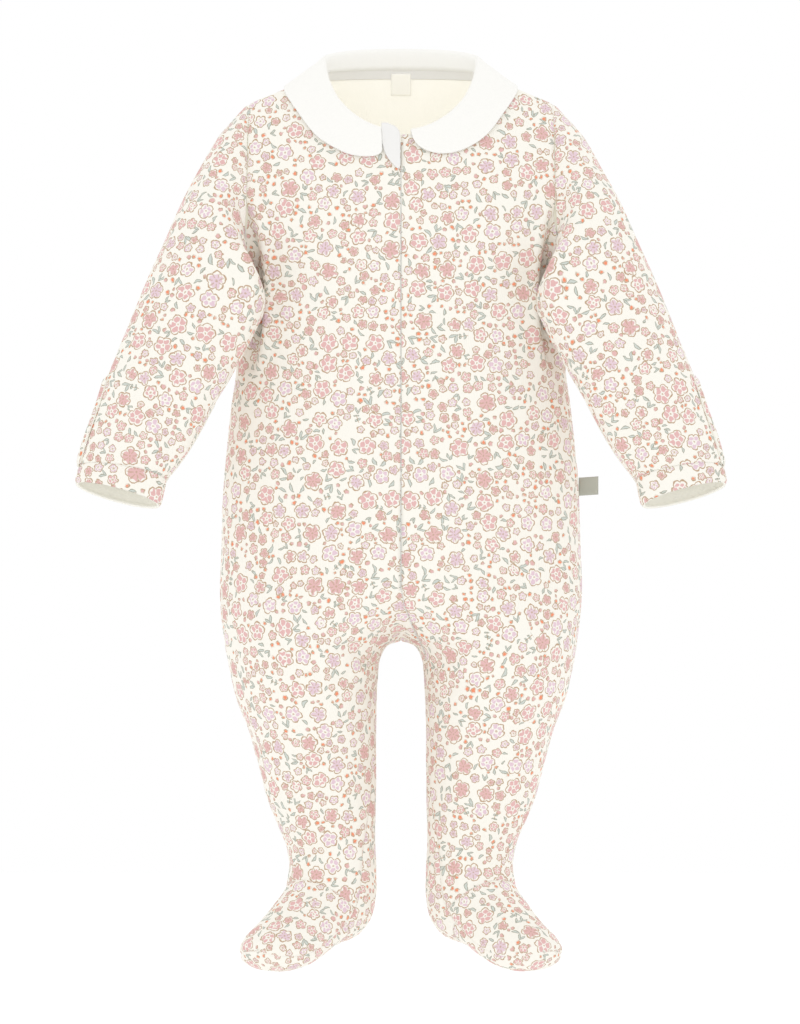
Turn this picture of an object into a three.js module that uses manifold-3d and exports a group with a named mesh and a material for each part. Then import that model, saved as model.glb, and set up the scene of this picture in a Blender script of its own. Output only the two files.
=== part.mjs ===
import * as THREE from "three";
import Module from "manifold-3d";

// Footed baby sleepsuit of printed cotton jersey, filled out as on a small body. Millimetres, +Z up, the
// front faces -Y and +X is the wearer's left. The origin is the middle of the shoulders.

const wasm = await Module();
wasm.setup();

// Cloth
const WALL = 1.5; // jersey with its turnings
const SEAM_GAP = 0.3; // between the edges of two sewn pieces
const SLEEVE_GAP = 0.6; // the same at the strongly bent armhole
const COLLAR_WALL = 1.2;
const CUFF_WALL = 1.9;
const TRIM_WALL = 0.8; // tapes and labels
const LAY = 0.3; // from a panel to what lies on it

// Grid of the pieces
const TRUNK_COLS = 10; // centre line to side seam
const ARM_COLS = 8; // half of the armhole
const YOKE_ROWS = 6; // neckline to underarm level
const QUARTER_COLS = TRUNK_COLS + ARM_COLS;

// Neck and shoulders
const NECK_HALF = 47;
const NECK_SIDE_Z = 9;
const NECK_FRONT_DROP = 38;
const NECK_BACK_RISE = 2.5;
const NECK_DROP_POWER = 1.2;
const TIP_X = 92; // shoulder tip, where the sleeve is set in
const TIP_Z = -9.5;
const UNDERARM_X = 97;
const UNDERARM_Z = -112;
const ARMHOLE_HOLLOW = 2.6; // how far the armhole curves in between its ends
const RIDGE = {
  front: { fall: 75, neckRise: 8 }, // height over which the shoulder rounds down to the full depth
  back: { fall: 55, neckRise: 34 },
};
const SPREAD_BY = 29; // the chest widens into the sleeves by this above the underarm
const SPREAD_OVER = 52;
const FULLNESS = 0.9; // below 1 the trunk's sections are squarer than an ellipse
const LEG_ROUND = 4; // rounding of the crotch arch

// Depth of the chest in front of and behind the shoulder line, by height
const CHEST_ROWS = [
  { z: -112, front: 45, back: 43 },
  { z: -85, front: 43.5, back: 43 },
  { z: -60, front: 41, back: 42 },
  { z: -29, front: 36, back: 38 },
  { z: -8, front: 33, back: 34 },
  { z: 14, front: 31, back: 30 },
];

// Trunk and legs by height: half-width at the side seam, gap between the legs (negative while they are
// joined), depth before and behind the side seam, and the turn of the leg towards its toes in degrees
const BODY_ROWS = [
  { z: -112, side: 97, gap: -97, front: 45, back: 43, turn: 0 },
  { z: -165, side: 99, gap: -99, front: 47.5, back: 46.5, turn: 0 },
  { z: -200, side: 103.6, gap: -103.6, front: 49.5, back: 49, turn: 0 },
  { z: -242, side: 107.3, gap: -107.3, front: 52, back: 53, turn: 0 },
  { z: -283, side: 109, gap: -98, front: 53.5, back: 57, turn: 0 },
  { z: -303, side: 109.6, gap: -55, front: 54, back: 58.5, turn: 0 },
  { z: -317, side: 109, gap: -22, front: 53.5, back: 58.5, turn: 0 },
  { z: -326.5, side: 108, gap: -6, front: 53, back: 57.5, turn: 0 },
  { z: -332, side: 107.2, gap: 1.5, front: 52.5, back: 56.5, turn: 0 },
  { z: -335, side: 106.8, gap: 4, front: 52, back: 56, turn: 0 },
  { z: -338, side: 106.4, gap: 9.4, front: 51.6, back: 55.4, turn: 0 },
  { z: -342.5, side: 105.6, gap: 12.2, front: 51, back: 54.6, turn: 0 },
  { z: -349, side: 104.4, gap: 14, front: 50, back: 53.4, turn: 0 },
  { z: -370, side: 99.6, gap: 15.4, front: 46.5, back: 48.5, turn: 0 },
  { z: -387, side: 93, gap: 15.8, front: 42.5, back: 43.5, turn: 2 },
  { z: -408, side: 87, gap: 16, front: 38, back: 38, turn: 8 },
  { z: -428, side: 82, gap: 16, front: 33.5, back: 33.5, turn: 20 },
  { z: -449, side: 73.8, gap: 16, front: 28.5, back: 29, turn: 34 },
  { z: -461, side: 69.4, gap: 16, front: 26, back: 27, turn: 42 },
  { z: -470, side: 68.2, gap: 15.8, front: 25, back: 27, turn: 45 },
];
const BODY_LEVELS = [
  -112, -135, -160, -190, -222, -254, -283, -303, -317, -326.5, -332, -335, -338, -342.5, -349, -360,
  -377, -395, -412, -430, -450, -470,
];

// Foot rings, fanned round the instep: forward and height of the middle, lean of the ring from level,
// half-width, height above and below the seam that runs along the foot
const FOOT_ROWS = [
  { f: 0.5, z: -480, lean: 14, half: 26.8, over: 25.5, under: 29.5 },
  { f: 2.5, z: -489, lean: 28, half: 27, over: 26, under: 32 },
  { f: 6, z: -497, lean: 42, half: 26.8, over: 27, under: 29 },
  { f: 13, z: -505, lean: 54, half: 26.4, over: 27.5, under: 17.5 },
  { f: 22, z: -512, lean: 62, half: 26.4, over: 27, under: 11 },
  { f: 32, z: -518, lean: 66, half: 26.4, over: 24.5, under: 9 },
  { f: 42, z: -522.5, lean: 68, half: 25.4, over: 21.5, under: 8 },
  { f: 51.5, z: -524.5, lean: 70, half: 22.6, over: 18, under: 7 },
  { f: 59.5, z: -524.5, lean: 74, half: 18, over: 13, under: 6 },
  { f: 65.5, z: -523, lean: 80, half: 11.5, over: 7.2, under: 3.6 },
  { f: 68.5, z: -521.5, lean: 84, half: 5, over: 0, under: 0 },
];
const INSTEP_ROW = 2; // the leg's front ends here and the foot's upper begins
const HEEL_ROW = 3; // the leg's back ends here and the sole begins
const FOOT_TURN = 45;

// Sleeve rings from the armhole to the cuff seam: outer and inner point, half-depth, lean of the ring
const SLEEVE_ROWS = [
  { ox: 101, oy: -1, oz: -18.5, ix: 100.5, iy: -2.5, iz: -113.5, half: 27.5, lean: 2 },
  { ox: 111, oy: -3.5, oz: -30.5, ix: 99.5, iy: -11, iz: -116, half: 28, lean: 4 },
  { ox: 121, oy: -7, oz: -48, ix: 95.5, iy: -22, iz: -119.5, half: 28.3, lean: 6 },
  { ox: 130.6, oy: -11, oz: -66.5, ix: 91, iy: -32, iz: -125, half: 28.3, lean: 8 },
  { ox: 140, oy: -15.5, oz: -88, ix: 89, iy: -37, iz: -134.5, half: 27.8, lean: 10 },
  { ox: 149.7, oy: -20, oz: -109.5, ix: 91.5, iy: -40, iz: -146, half: 27, lean: 12 },
  { ox: 159, oy: -25, oz: -131.5, ix: 96, iy: -42.5, iz: -159, half: 26, lean: 13.5 },
  { ox: 168.3, oy: -30, oz: -155, ix: 102.8, iy: -45, iz: -174, half: 24.8, lean: 15 },
  { ox: 177, oy: -35, oz: -177, ix: 111.4, iy: -47.5, iz: -189, half: 23.2, lean: 16 },
  { ox: 184, oy: -39.5, oz: -198, ix: 119.6, iy: -50, iz: -205, half: 21, lean: 16.5 },
  { ox: 190, oy: -43.5, oz: -215, ix: 129.4, iy: -52.5, iz: -221.5, half: 18.8, lean: 16.5 },
  { ox: 194, oy: -46.5, oz: -229.5, ix: 141, iy: -54.5, iz: -237.5, half: 16.8, lean: 16.5 },
];
const CUFF_ROWS = [
  { ox: 195.4, oy: -48, oz: -235, ix: 142.8, iy: -56, iz: -246, half: 16.2, lean: 16.5 },
  { ox: 196.4, oy: -49.5, oz: -240.5, ix: 144.6, iy: -57.5, iz: -253.5, half: 15.8, lean: 16.5 },
];
const ARM_CLEAR = 2.4; // sleeve to trunk where it rests nearest

// Turned-back mitten flap round the back of the sleeve end
const MITTEN_FIRST_ROW = 8;
const MITTEN_FRONT_TURN = 24; // degrees past the outer edge on to the front
const MITTEN_BACK_TURN = 158;
const MITTEN_COLS = 12;
const MITTEN_LIFT = 1.0;

// Collar by the share of the way along half the neckline, 0 at the front and 1 at the back: fall over the
// body and stand of its fold
const COLLAR_ROWS = [
  { place: 0.0, fall: 19, stand: 0.7 },
  { place: 0.035, fall: 20, stand: 0.8 },
  { place: 0.08, fall: 21, stand: 0.9 },
  { place: 0.15, fall: 22.2, stand: 1.1 },
  { place: 0.25, fall: 25.5, stand: 1.6 },
  { place: 0.38, fall: 30, stand: 3.2 },
  { place: 0.5, fall: 27, stand: 5.5 },
  { place: 0.68, fall: 22, stand: 8.6 },
  { place: 0.85, fall: 17, stand: 10.6 },
  { place: 1.0, fall: 15, stand: 11.2 },
];
// Front ends of the collar: shares of the half neckline left free and over which the lobe rounds to the full
// fall, and the fall at its very end
const COLLAR_ENDS = {
  left: { start: 0.03, round: 0.13, fall: 1 },
  right: { start: 0.064, round: 0.07, fall: 11 },
};
const COLLAR_FRONT_STEPS = 12; // along each half of the front
const COLLAR_CROWDING = 1.5; // above 1 the columns lie closer together at the round end
const COLLAR_BACK_STEPS = 8;
const COLLAR_FALL_STEPS = 5;
const COLLAR_LIFT = 2.75; // top of the cloth above the body
const COLLAR_ROLL = 0.2; // extra rise of the fall's middle for each millimetre of stand
const COLLAR_CREST = 1.5; // height of the fold over the stand
const COLLAR_UPRIGHT = 6; // stand from which the collar rises straight up
const RIDGE_NORMAL = new THREE.Vector3(0.35, 0, 0.94); // of the body along the shoulder line
const RIDGE_SOFT = 0.16; // share of the front's or back's neckline over which the collar rounds the shoulder

// Front closure: line of the slit in front view, and the tape behind it
const SLIT_LINE = [
  { x: 0, z: 40 },
  { x: 0, z: -304 },
  { x: 2.4, z: -315 },
  { x: 8.6, z: -330 },
  { x: 13.6, z: -340 },
  { x: 15.6, z: -348 },
  { x: 13.5, z: -355 },
  { x: 6, z: -360 },
];
const SLIT_NEAR_Y = -90;
const SLIT_FAR_Y = 6;
const TAPE_HALF = 5;
const TAPE_LEVELS = [-33, -50, -70, -90, -112, -135, -160, -190, -222, -254, -283, -303];

// Guard over the top of the closure: right edge at the slit, curved left edge
const GUARD_ROWS = [
  { z: -22.5, left: -11.8, right: -8.5 },
  { z: -25, left: -11.9, right: -3 },
  { z: -29, left: -11.8, right: -0.5 },
  { z: -34, left: -11.4, right: -0.4 },
  { z: -39, left: -10.2, right: -0.4 },
  { z: -43.5, left: -8, right: -0.4 },
  { z: -47.5, left: -4.8, right: -0.4 },
  { z: -50, left: -2.2, right: -0.9 },
];
const GUARD_COLS = 4;

// Small pieces
const NECK_TAPE_TOP = 0.6; // below the neckline
const NECK_TAPE_DEPTH = 4.6;
const NECK_TAPE_COLS = 20;
const NECK_TAPE_END = 0.16; // share of the half neckline left bare at each shoulder
const NECK_LABEL = { half: 6, top: 1.2, bottom: 14.5, cols: 4, rows: 3 };
const SIDE_LABEL = {
  seamX: 107.4,
  y: -0.5,
  top: -236.2,
  height: 11,
  length: 11.8,
  rise: 0.8,
  bend: 0.4,
  wall: 1,
};

const COLOURS = {
  print: 0xf3e4dc,
  plain: 0xfdfcf6,
  grey: 0xe6e5e2,
  tape: 0xc9cac6,
  label: 0xbbbdb2,
};

const rad = (degrees) => (degrees * Math.PI) / 180;

// Smooth value of each column of a table between its rows
function rowAt(table, key, value) {
  const step = Math.sign(table[1][key] - table[0][key]);
  let i = 0;
  while (i < table.length - 2 && step * (table[i + 1][key] - value) < 0) i += 1;
  const a = table[Math.max(i - 1, 0)];
  const b = table[i];
  const c = table[i + 1];
  const d = table[Math.min(i + 2, table.length - 1)];
  const span = c[key] - b[key];
  const t = Math.min(Math.max((value - b[key]) / span, 0), 1);
  const out = {};
  for (const name of Object.keys(b)) {
    const slope = (c[name] - b[name]) / span;
    const before = b === a ? slope : (b[name] - a[name]) / (b[key] - a[key]);
    const after = d === c ? slope : (d[name] - c[name]) / (d[key] - c[key]);
    const at = before * slope > 0 ? (2 * before * slope) / (before + slope) : 0;
    const to = after * slope > 0 ? (2 * after * slope) / (after + slope) : 0;
    const t2 = t * t;
    const t3 = t2 * t;
    out[name] =
      b[name] * (2 * t3 - 3 * t2 + 1) +
      at * span * (t3 - 2 * t2 + t) +
      c[name] * (3 * t2 - 2 * t3) +
      to * span * (t3 - t2);
  }
  return out;
}

const vec = (x, y, z) => new THREE.Vector3(x, y, z);

// Upper body

// Height of the shoulder line above a point, with the neck's own slope inside the neckline
function shoulderLine(x, face) {
  const inside = Math.min(x / NECK_HALF, 1);
  const slope = (TIP_Z - NECK_SIDE_Z) / (TIP_X - NECK_HALF);
  const line = NECK_SIDE_Z + slope * Math.max(x - NECK_HALF, 0);
  return line + RIDGE[face].neckRise * (1 - inside * inside);
}

// Distance of the chest from the shoulder plane at a place in front view
function chestDepth(x, z, face) {
  const level = Math.max(z, UNDERARM_Z);
  const rise = Math.min((level - UNDERARM_Z) / SPREAD_OVER, 1);
  const width = UNDERARM_X + SPREAD_BY * Math.sin(rad(90 * rise));
  const across = Math.max(1 - (x / width) ** 2, 0) ** (FULLNESS / 2);
  const below = Math.max(shoulderLine(x, face) - z, 0);
  const short = 1 - Math.min(below / RIDGE[face].fall, 1);
  return rowAt(CHEST_ROWS, "z", level)[face] * across * Math.sqrt(1 - short * short);
}

const facing = (face) => (face === "front" ? -1 : 1);

// Neckline in front view, from the middle (0) to the shoulder (1)
function neckline(u, face) {
  const turn = rad(90 * (1 - u) ** 1.4);
  const drop = Math.sin(turn) ** NECK_DROP_POWER;
  const rise = face === "front" ? -NECK_FRONT_DROP : NECK_BACK_RISE;
  return { x: NECK_HALF * Math.cos(turn), z: NECK_SIDE_Z + rise * drop };
}

// Armhole in front view, from the shoulder tip (0) to the underarm (180)
function armhole(turn) {
  const share = (1 - Math.cos(rad(turn))) / 2;
  const x = TIP_X + (UNDERARM_X - TIP_X) * share - ARMHOLE_HOLLOW * Math.sin(Math.PI * share) * share;
  return { x, z: TIP_Z + (UNDERARM_Z - TIP_Z) * share };
}

// Outer edge of the yoke: underarm level from the middle to the side seam, then up the armhole
function yokeEdge(u) {
  const split = TRUNK_COLS / QUARTER_COLS;
  if (u <= split) return { x: UNDERARM_X * Math.sin(rad((90 * u) / split)), z: UNDERARM_Z };
  return armhole((180 * (1 - u)) / (1 - split));
}

// Point of the yoke on the wearer's left, u from the middle to the shoulder seam, v down from the neckline
function yokePoint(u, v, face) {
  const top = neckline(u, face);
  const edge = yokeEdge(u);
  const x = top.x + (edge.x - top.x) * v;
  const z = top.z + (edge.z - top.z) * v;
  const atSeam = u > 1 - 1e-9;
  return vec(x, atSeam ? 0 : facing(face) * chestDepth(x, z, face), z);
}

// Trunk, legs and feet

// Section of the trunk or leg at a level: middle and half-width of one side's oval, the turn at which it
// meets the other side, and the power that squares it
function sectionAt(level) {
  const row = rowAt(BODY_ROWS, "z", level);
  const mid = (row.side + row.gap) / 2;
  const half = (row.side - row.gap) / 2;
  const round = Math.min(Math.max((row.side + row.gap) / LEG_ROUND, 0), 1) * LEG_ROUND;
  const end = row.gap >= LEG_ROUND ? Math.PI : Math.acos((round - mid) / half);
  const power = FULLNESS + (1 - FULLNESS) * (2 * (end / Math.PI) - 1);
  return { ...row, mid, half, round, end, power };
}

// Point of the trunk or leg at a level, share 0 at the middle or inseam and 1 at the side seam
function bodyPoint(level, share, face) {
  const at = sectionAt(level);
  const turn = at.end * (1 - share);
  const side = at.half * Math.cos(turn);
  const out = facing(face) * at[face] * Math.max(Math.sin(turn), 0) ** at.power;
  const x = Math.sqrt(Math.max((at.mid + side) ** 2 - at.round ** 2, 0));
  const middle = x - side;
  const [cos, sin] = [Math.cos(rad(at.turn)), Math.sin(rad(at.turn))];
  return vec(middle + side * cos - out * sin, side * sin + out * cos, level);
}

// Depth of the trunk at a place in front view
function trunkDepth(x, z, face) {
  const at = sectionAt(z);
  const cos = Math.min((Math.hypot(x, at.round) - at.mid) / at.half, 1);
  return at[face] * (1 - cos * cos) ** (at.power / 2);
}

// Point of the foot on a ring, share 0 at the inner side and 1 at the outer, over or under its seam
function footPoint(row, share, face) {
  const ankle = BODY_ROWS[BODY_ROWS.length - 1];
  const yaw = rad(FOOT_TURN);
  const lean = rad(row.lean);
  const turn = Math.PI * (1 - share);
  const side = row.half * Math.cos(turn);
  const rise = (face === "front" ? row.over : -row.under) * Math.max(Math.sin(turn), 0);
  const forward = row.f + rise * Math.cos(lean);
  const x = (ankle.side + ankle.gap) / 2 + side * Math.cos(yaw) + forward * Math.sin(yaw);
  return vec(x, side * Math.sin(yaw) - forward * Math.cos(yaw), row.z + rise * Math.sin(lean));
}

// Sleeves

function sleeveRing(row, turn) {
  const outer = vec(row.ox, row.oy, row.oz);
  const inner = vec(row.ix, row.iy, row.iz);
  const middle = outer.clone().add(inner).multiplyScalar(0.5);
  const across = outer.clone().sub(inner).multiplyScalar(0.5);
  const axis = across.clone().normalize();
  const deep = vec(0, 1, 0);
  deep.addScaledVector(axis, -deep.dot(axis)).normalize().applyAxisAngle(axis, rad(-row.lean));
  const front = -Math.sin(rad(turn)) * row.half;
  return middle.addScaledVector(across, Math.cos(rad(turn))).addScaledVector(deep, front);
}

// Moves a sleeve point out of the trunk's section with room to spare
function clearOfTrunk(p, room) {
  if (p.z > UNDERARM_Z) return p;
  const row = rowAt(BODY_ROWS, "z", p.z);
  const deep = (p.y < 0 ? row.front : row.back) + room;
  const reach = Math.hypot(p.x / (row.side + room), p.y / deep);
  if (reach < 1) p.set(p.x / reach, p.y / reach, p.z);
  return p;
}

// Point of a sleeve, row 0 is the armhole, turn 0 is outermost, positive turns run over the front
function sleevePoint(index, turn) {
  if (index > 0) {
    const row = SLEEVE_ROWS[index - 1];
    return clearOfTrunk(sleeveRing(row, turn), (ARM_CLEAR * Math.min(index, 3)) / 3);
  }
  const face = turn >= 0 ? "front" : "back";
  const at = armhole(Math.abs(turn));
  const flat = Math.abs(turn) < 1e-9 || Math.abs(turn) > 180 - 1e-9;
  return vec(at.x, flat ? 0 : facing(face) * chestDepth(at.x, at.z, face), at.z);
}

// Grids: rows of points, laid so that with rows down and columns from right to left the face points out

const grid = (rows, cols, point) =>
  Array.from({ length: rows + 1 }, (_, i) => Array.from({ length: cols + 1 }, (_, j) => point(i, j)));

const reversed = (points) => points.map((row) => row.slice().reverse());

const mirrored = (points) => reversed(points.map((row) => row.map((p) => vec(-p.x, p.y, p.z))));

// The two yoke and trunk grids of one face on the wearer's left, and the leg's end by the foot
function bodyGrids(face) {
  const yoke = grid(YOKE_ROWS, QUARTER_COLS, (i, j) => yokePoint(j / QUARTER_COLS, i / YOKE_ROWS, face));
  const bodyRows = BODY_LEVELS.map((level) => ({ level }));
  const footRows = FOOT_ROWS.slice(0, face === "front" ? INSTEP_ROW + 1 : HEEL_ROW + 1);
  const rows = [...bodyRows, ...footRows];
  const lower = grid(rows.length - 1, TRUNK_COLS, (i, j) => {
    const share = j / TRUNK_COLS;
    if (i === 0) return yokePoint(j / QUARTER_COLS, 1, face);
    return rows[i].level ? bodyPoint(rows[i].level, share, face) : footPoint(rows[i], share, face);
  });
  return face === "front" ? [yoke, lower] : [reversed(yoke), reversed(lower)];
}

function footGrid(first, face) {
  const rows = FOOT_ROWS.slice(first);
  const points = grid(rows.length - 1, TRUNK_COLS, (i, j) => footPoint(rows[i], j / TRUNK_COLS, face));
  return face === "front" ? points : reversed(points);
}

const sleeveGrid = grid(SLEEVE_ROWS.length, 2 * ARM_COLS, (i, j) => {
  const turn = 180 - (180 * j) / ARM_COLS;
  return sleevePoint(i, j === 0 || j === 2 * ARM_COLS ? 180 : turn);
});

const cuffGrid = grid(CUFF_ROWS.length, 2 * ARM_COLS, (i, j) => {
  const turn = 180 - (180 * j) / ARM_COLS;
  const row = i === 0 ? SLEEVE_ROWS[SLEEVE_ROWS.length - 1] : CUFF_ROWS[i - 1];
  return sleeveRing(row, j === 0 || j === 2 * ARM_COLS ? 180 : turn);
});

// Walls

const spot = (p) => [p.x, p.y, p.z].map((v) => Math.round(v * 2e3)).join(" ");

// Points and triangles of a set of grids that share their common points
function meshOf(grids) {
  const points = [];
  const triangles = [];
  const known = new Map();
  const indexOf = (p) => {
    const key = spot(p);
    if (!known.has(key)) {
      known.set(key, points.length);
      points.push(p.clone());
    }
    return known.get(key);
  };
  for (const rows of grids) {
    const ids = rows.map((row) => row.map(indexOf));
    for (let i = 0; i + 1 < ids.length; i += 1) {
      for (let j = 0; j + 1 < ids[i].length; j += 1) {
        const [a, b, c, d] = [ids[i][j], ids[i + 1][j], ids[i + 1][j + 1], ids[i][j + 1]];
        const first = points[a].distanceTo(points[c]) <= points[b].distanceTo(points[d]);
        const pair = first
          ? [
              [a, b, c],
              [a, c, d],
            ]
          : [
              [a, b, d],
              [b, c, d],
            ];
        for (const t of pair) {
          if (t[0] !== t[1] && t[1] !== t[2] && t[2] !== t[0]) triangles.push(t);
        }
      }
    }
  }
  return { points, triangles };
}

// Adds each triangle's area normal to its corners in a map by place
function gatherNormals(mesh, sums) {
  for (const [a, b, c] of mesh.triangles) {
    const [p, q, r] = [mesh.points[a], mesh.points[b], mesh.points[c]];
    const normal = q.clone().sub(p).cross(r.clone().sub(p));
    for (const corner of [p, q, r]) {
      const key = spot(corner);
      if (!sums.has(key)) sums.set(key, vec(0, 0, 0));
      sums.get(key).add(normal);
    }
  }
  return sums;
}

// Closed wall on grids: the cloth lies from lift down to lift - wall along the normals, its edges drawn in
function wallOn(grids, { wall = WALL, lift = 0, drawIn = SEAM_GAP / 2, normals = null } = {}) {
  const mesh = meshOf(grids);
  const sums = normals ?? gatherNormals(mesh, new Map());
  const across = mesh.points.map((p) => sums.get(spot(p)).clone().normalize());
  const edges = new Map();
  for (const [a, b, c] of mesh.triangles) {
    for (const [from, to] of [
      [a, b],
      [b, c],
      [c, a],
    ]) {
      if (!edges.delete(to + " " + from)) edges.set(from + " " + to, [from, to]);
    }
  }
  const inward = new Map();
  for (const [from, to] of edges.values()) {
    const along = mesh.points[to].clone().sub(mesh.points[from]).normalize();
    for (const end of [from, to]) {
      if (!inward.has(end)) inward.set(end, vec(0, 0, 0));
      inward.get(end).add(across[end].clone().cross(along));
    }
  }
  for (const [end, direction] of inward) {
    mesh.points[end].addScaledVector(direction.normalize(), drawIn);
  }
  const count = mesh.points.length;
  const outer = mesh.points.map((p, i) => p.clone().addScaledVector(across[i], lift));
  const inner = mesh.points.map((p, i) => p.clone().addScaledVector(across[i], lift - wall));
  const index = [];
  for (const [a, b, c] of mesh.triangles) index.push(a, b, c, a + count, c + count, b + count);
  for (const [a, b] of edges.values()) {
    const [p, q] = [mesh.points[a], mesh.points[b]];
    const fromFirst = Math.abs(p.z - q.z) > 1e-6 ? p.z > q.z : Math.abs(p.x) > Math.abs(q.x);
    if (fromFirst) index.push(b, a, b + count, a, a + count, b + count);
    else index.push(b, a, a + count, b, a + count, b + count);
  }
  const geometry = new THREE.BufferGeometry();
  geometry.setFromPoints([...outer, ...inner]);
  geometry.setIndex(index);
  return geometry;
}

// Solids for cutting

function manifoldOf(geometry) {
  const mesh = new wasm.Mesh({
    numProp: 3,
    vertProperties: new Float32Array(geometry.attributes.position.array),
    triVerts: new Uint32Array(geometry.index.array),
  });
  return new wasm.Manifold(mesh);
}

function geometryOf(manifold) {
  const mesh = manifold.getMesh();
  const geometry = new THREE.BufferGeometry();
  geometry.setAttribute("position", new THREE.BufferAttribute(new Float32Array(mesh.vertProperties), 3));
  geometry.setIndex(new THREE.BufferAttribute(new Uint32Array(mesh.triVerts), 1));
  return geometry;
}

// Thin upright blade along the line of the slit
function slitBlade() {
  const left = [];
  const right = [];
  SLIT_LINE.forEach((p, i) => {
    const before = SLIT_LINE[Math.max(i - 1, 0)];
    const after = SLIT_LINE[Math.min(i + 1, SLIT_LINE.length - 1)];
    const along = new THREE.Vector2(after.x - before.x, after.z - before.z).normalize();
    const half = SEAM_GAP / 2;
    left.push([p.x + along.y * half, p.z - along.x * half]);
    right.push([p.x - along.y * half, p.z + along.x * half]);
  });
  const loops = [
    left.map(([x, z]) => vec(x, SLIT_NEAR_Y, z)),
    right.map(([x, z]) => vec(x, SLIT_NEAR_Y, z)),
    right.map(([x, z]) => vec(x, SLIT_FAR_Y, z)),
    left.map(([x, z]) => vec(x, SLIT_FAR_Y, z)),
  ];
  const index = [];
  const last = SLIT_LINE.length - 1;
  const id = (loop, i) => (loop % loops.length) * SLIT_LINE.length + i;
  for (let loop = 0; loop < loops.length; loop += 1) {
    for (let i = 0; i < last; i += 1) {
      index.push(id(loop, i), id(loop, i + 1), id(loop + 1, i + 1));
      index.push(id(loop, i), id(loop + 1, i + 1), id(loop + 1, i));
    }
  }
  index.push(id(0, 0), id(1, 0), id(2, 0), id(0, 0), id(2, 0), id(3, 0));
  index.push(id(0, last), id(2, last), id(1, last), id(0, last), id(3, last), id(2, last));
  const geometry = new THREE.BufferGeometry();
  geometry.setFromPoints(loops.flat());
  geometry.setIndex(index);
  const blade = manifoldOf(geometry);
  if (blade.volume() > 0) return blade;
  for (let i = 0; i < index.length; i += 3) [index[i], index[i + 1]] = [index[i + 1], index[i]];
  geometry.setIndex(index);
  return manifoldOf(geometry);
}

// Collar

// Point and normal of the body at a distance over it from the neckline, place 0 front to 1 back
function underCollar(place, distance) {
  const face = place <= 0.5 ? "front" : "back";
  const u = place <= 0.5 ? place * 2 : (1 - place) * 2;
  const near = 0.02;
  const reach = yokePoint(u, near, face).distanceTo(yokePoint(u, 0, face)) / near;
  const v = Math.max(distance / reach, 0);
  const p = yokePoint(u, v, face);
  const down = yokePoint(u, v + near, face).sub(p).normalize();
  const shift = 0.01;
  if (u > 1 - shift) return { p, normal: RIDGE_NORMAL.clone(), down };
  const side = yokePoint(u + shift, v, face).sub(p).normalize();
  const normal = down.clone().cross(side).normalize();
  if (face === "back") normal.negate();
  normal.lerp(RIDGE_NORMAL, Math.max(1 - (1 - u) / RIDGE_SOFT, 0)).normalize();
  return { p, normal, down };
}

// Column of the collar from its neck edge over the fold to the edge of its fall
function collarColumn(place, end) {
  const row = rowAt(COLLAR_ROWS, "place", place);
  const short = 1 - Math.min((place - end.start) / end.round, 1);
  const length = end.fall + (row.fall - end.fall) * Math.sqrt(1 - short * short);
  const base = underCollar(place, 0);
  const up = base.down.clone().negate();
  up.lerp(vec(0, 0, 1), Math.min(row.stand / COLLAR_UPRIGHT, 1)).normalize();
  const bent = Math.sqrt(1 - Math.min(up.dot(base.down) ** 2, 1));
  const foot = base.p.clone().addScaledVector(base.normal, -WALL * (1 - bent));
  foot.addScaledVector(base.down, -LAY - COLLAR_WALL * bent);
  const top = foot.clone().addScaledVector(up, row.stand);
  const column = [foot, top];
  const fall = [];
  for (let k = 0; k <= COLLAR_FALL_STEPS; k += 1) {
    const share = k / COLLAR_FALL_STEPS;
    const under = underCollar(place, length * share);
    const roll = COLLAR_ROLL * row.stand * 4 * share * (1 - share);
    under.p.addScaledVector(under.normal, COLLAR_LIFT + roll);
    fall.push(under.p.addScaledVector(up, row.stand * (1 - share) + LAY));
  }
  const crest = top.clone().lerp(fall[0], 0.5).addScaledVector(up, COLLAR_CREST);
  column.push(crest, ...fall);
  return column;
}

// Places of the collar's columns from its front end to the middle of the back
function collarPlaces(start) {
  const front = Array.from(
    { length: COLLAR_FRONT_STEPS },
    (_, i) => start + (0.5 - start) * (i / COLLAR_FRONT_STEPS) ** COLLAR_CROWDING,
  );
  const back = Array.from(
    { length: COLLAR_BACK_STEPS + 1 },
    (_, i) => 0.5 + (0.5 * i) / COLLAR_BACK_STEPS,
  );
  return [...front, ...back];
}

function collarGrid() {
  const half = (end) => collarPlaces(end.start).map((place) => collarColumn(place, end));
  const left = half(COLLAR_ENDS.left);
  const right = half(COLLAR_ENDS.right);
  const turned = right.map((column) => column.map((p) => vec(-p.x, p.y, p.z)));
  return [...left.slice(0, -1), ...turned.reverse()];
}

// Grid that follows the front at places given in front view
function frontStrip(rows, cols, place) {
  return grid(rows, cols, (i, j) => {
    const { x, z } = place(i, j);
    const depth = z > UNDERARM_Z ? chestDepth : trunkDepth;
    return vec(x, -depth(Math.abs(x), z, "front"), z);
  });
}

// Build

const leftGrids = { front: bodyGrids("front"), back: bodyGrids("back") };
const rightGrids = { front: leftGrids.front.map(mirrored), back: leftGrids.back.map(mirrored) };
const upperLeft = footGrid(INSTEP_ROW, "front");
const soleLeft = footGrid(HEEL_ROW, "back");
const shell = {
  front: [...leftGrids.front, ...rightGrids.front],
  back: [...leftGrids.back, ...rightGrids.back],
  foot_upper_left: [upperLeft],
  foot_upper_right: [mirrored(upperLeft)],
  sole_left: [soleLeft],
  sole_right: [mirrored(soleLeft)],
  sleeve_left: [sleeveGrid],
  sleeve_right: [mirrored(sleeveGrid)],
  cuff_left: [cuffGrid],
  cuff_right: [mirrored(cuffGrid)],
};
const shared = new Map();
for (const grids of Object.values(shell)) gatherNormals(meshOf(grids), shared);

const group = new THREE.Group();
group.name = "sleepsuit";

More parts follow.
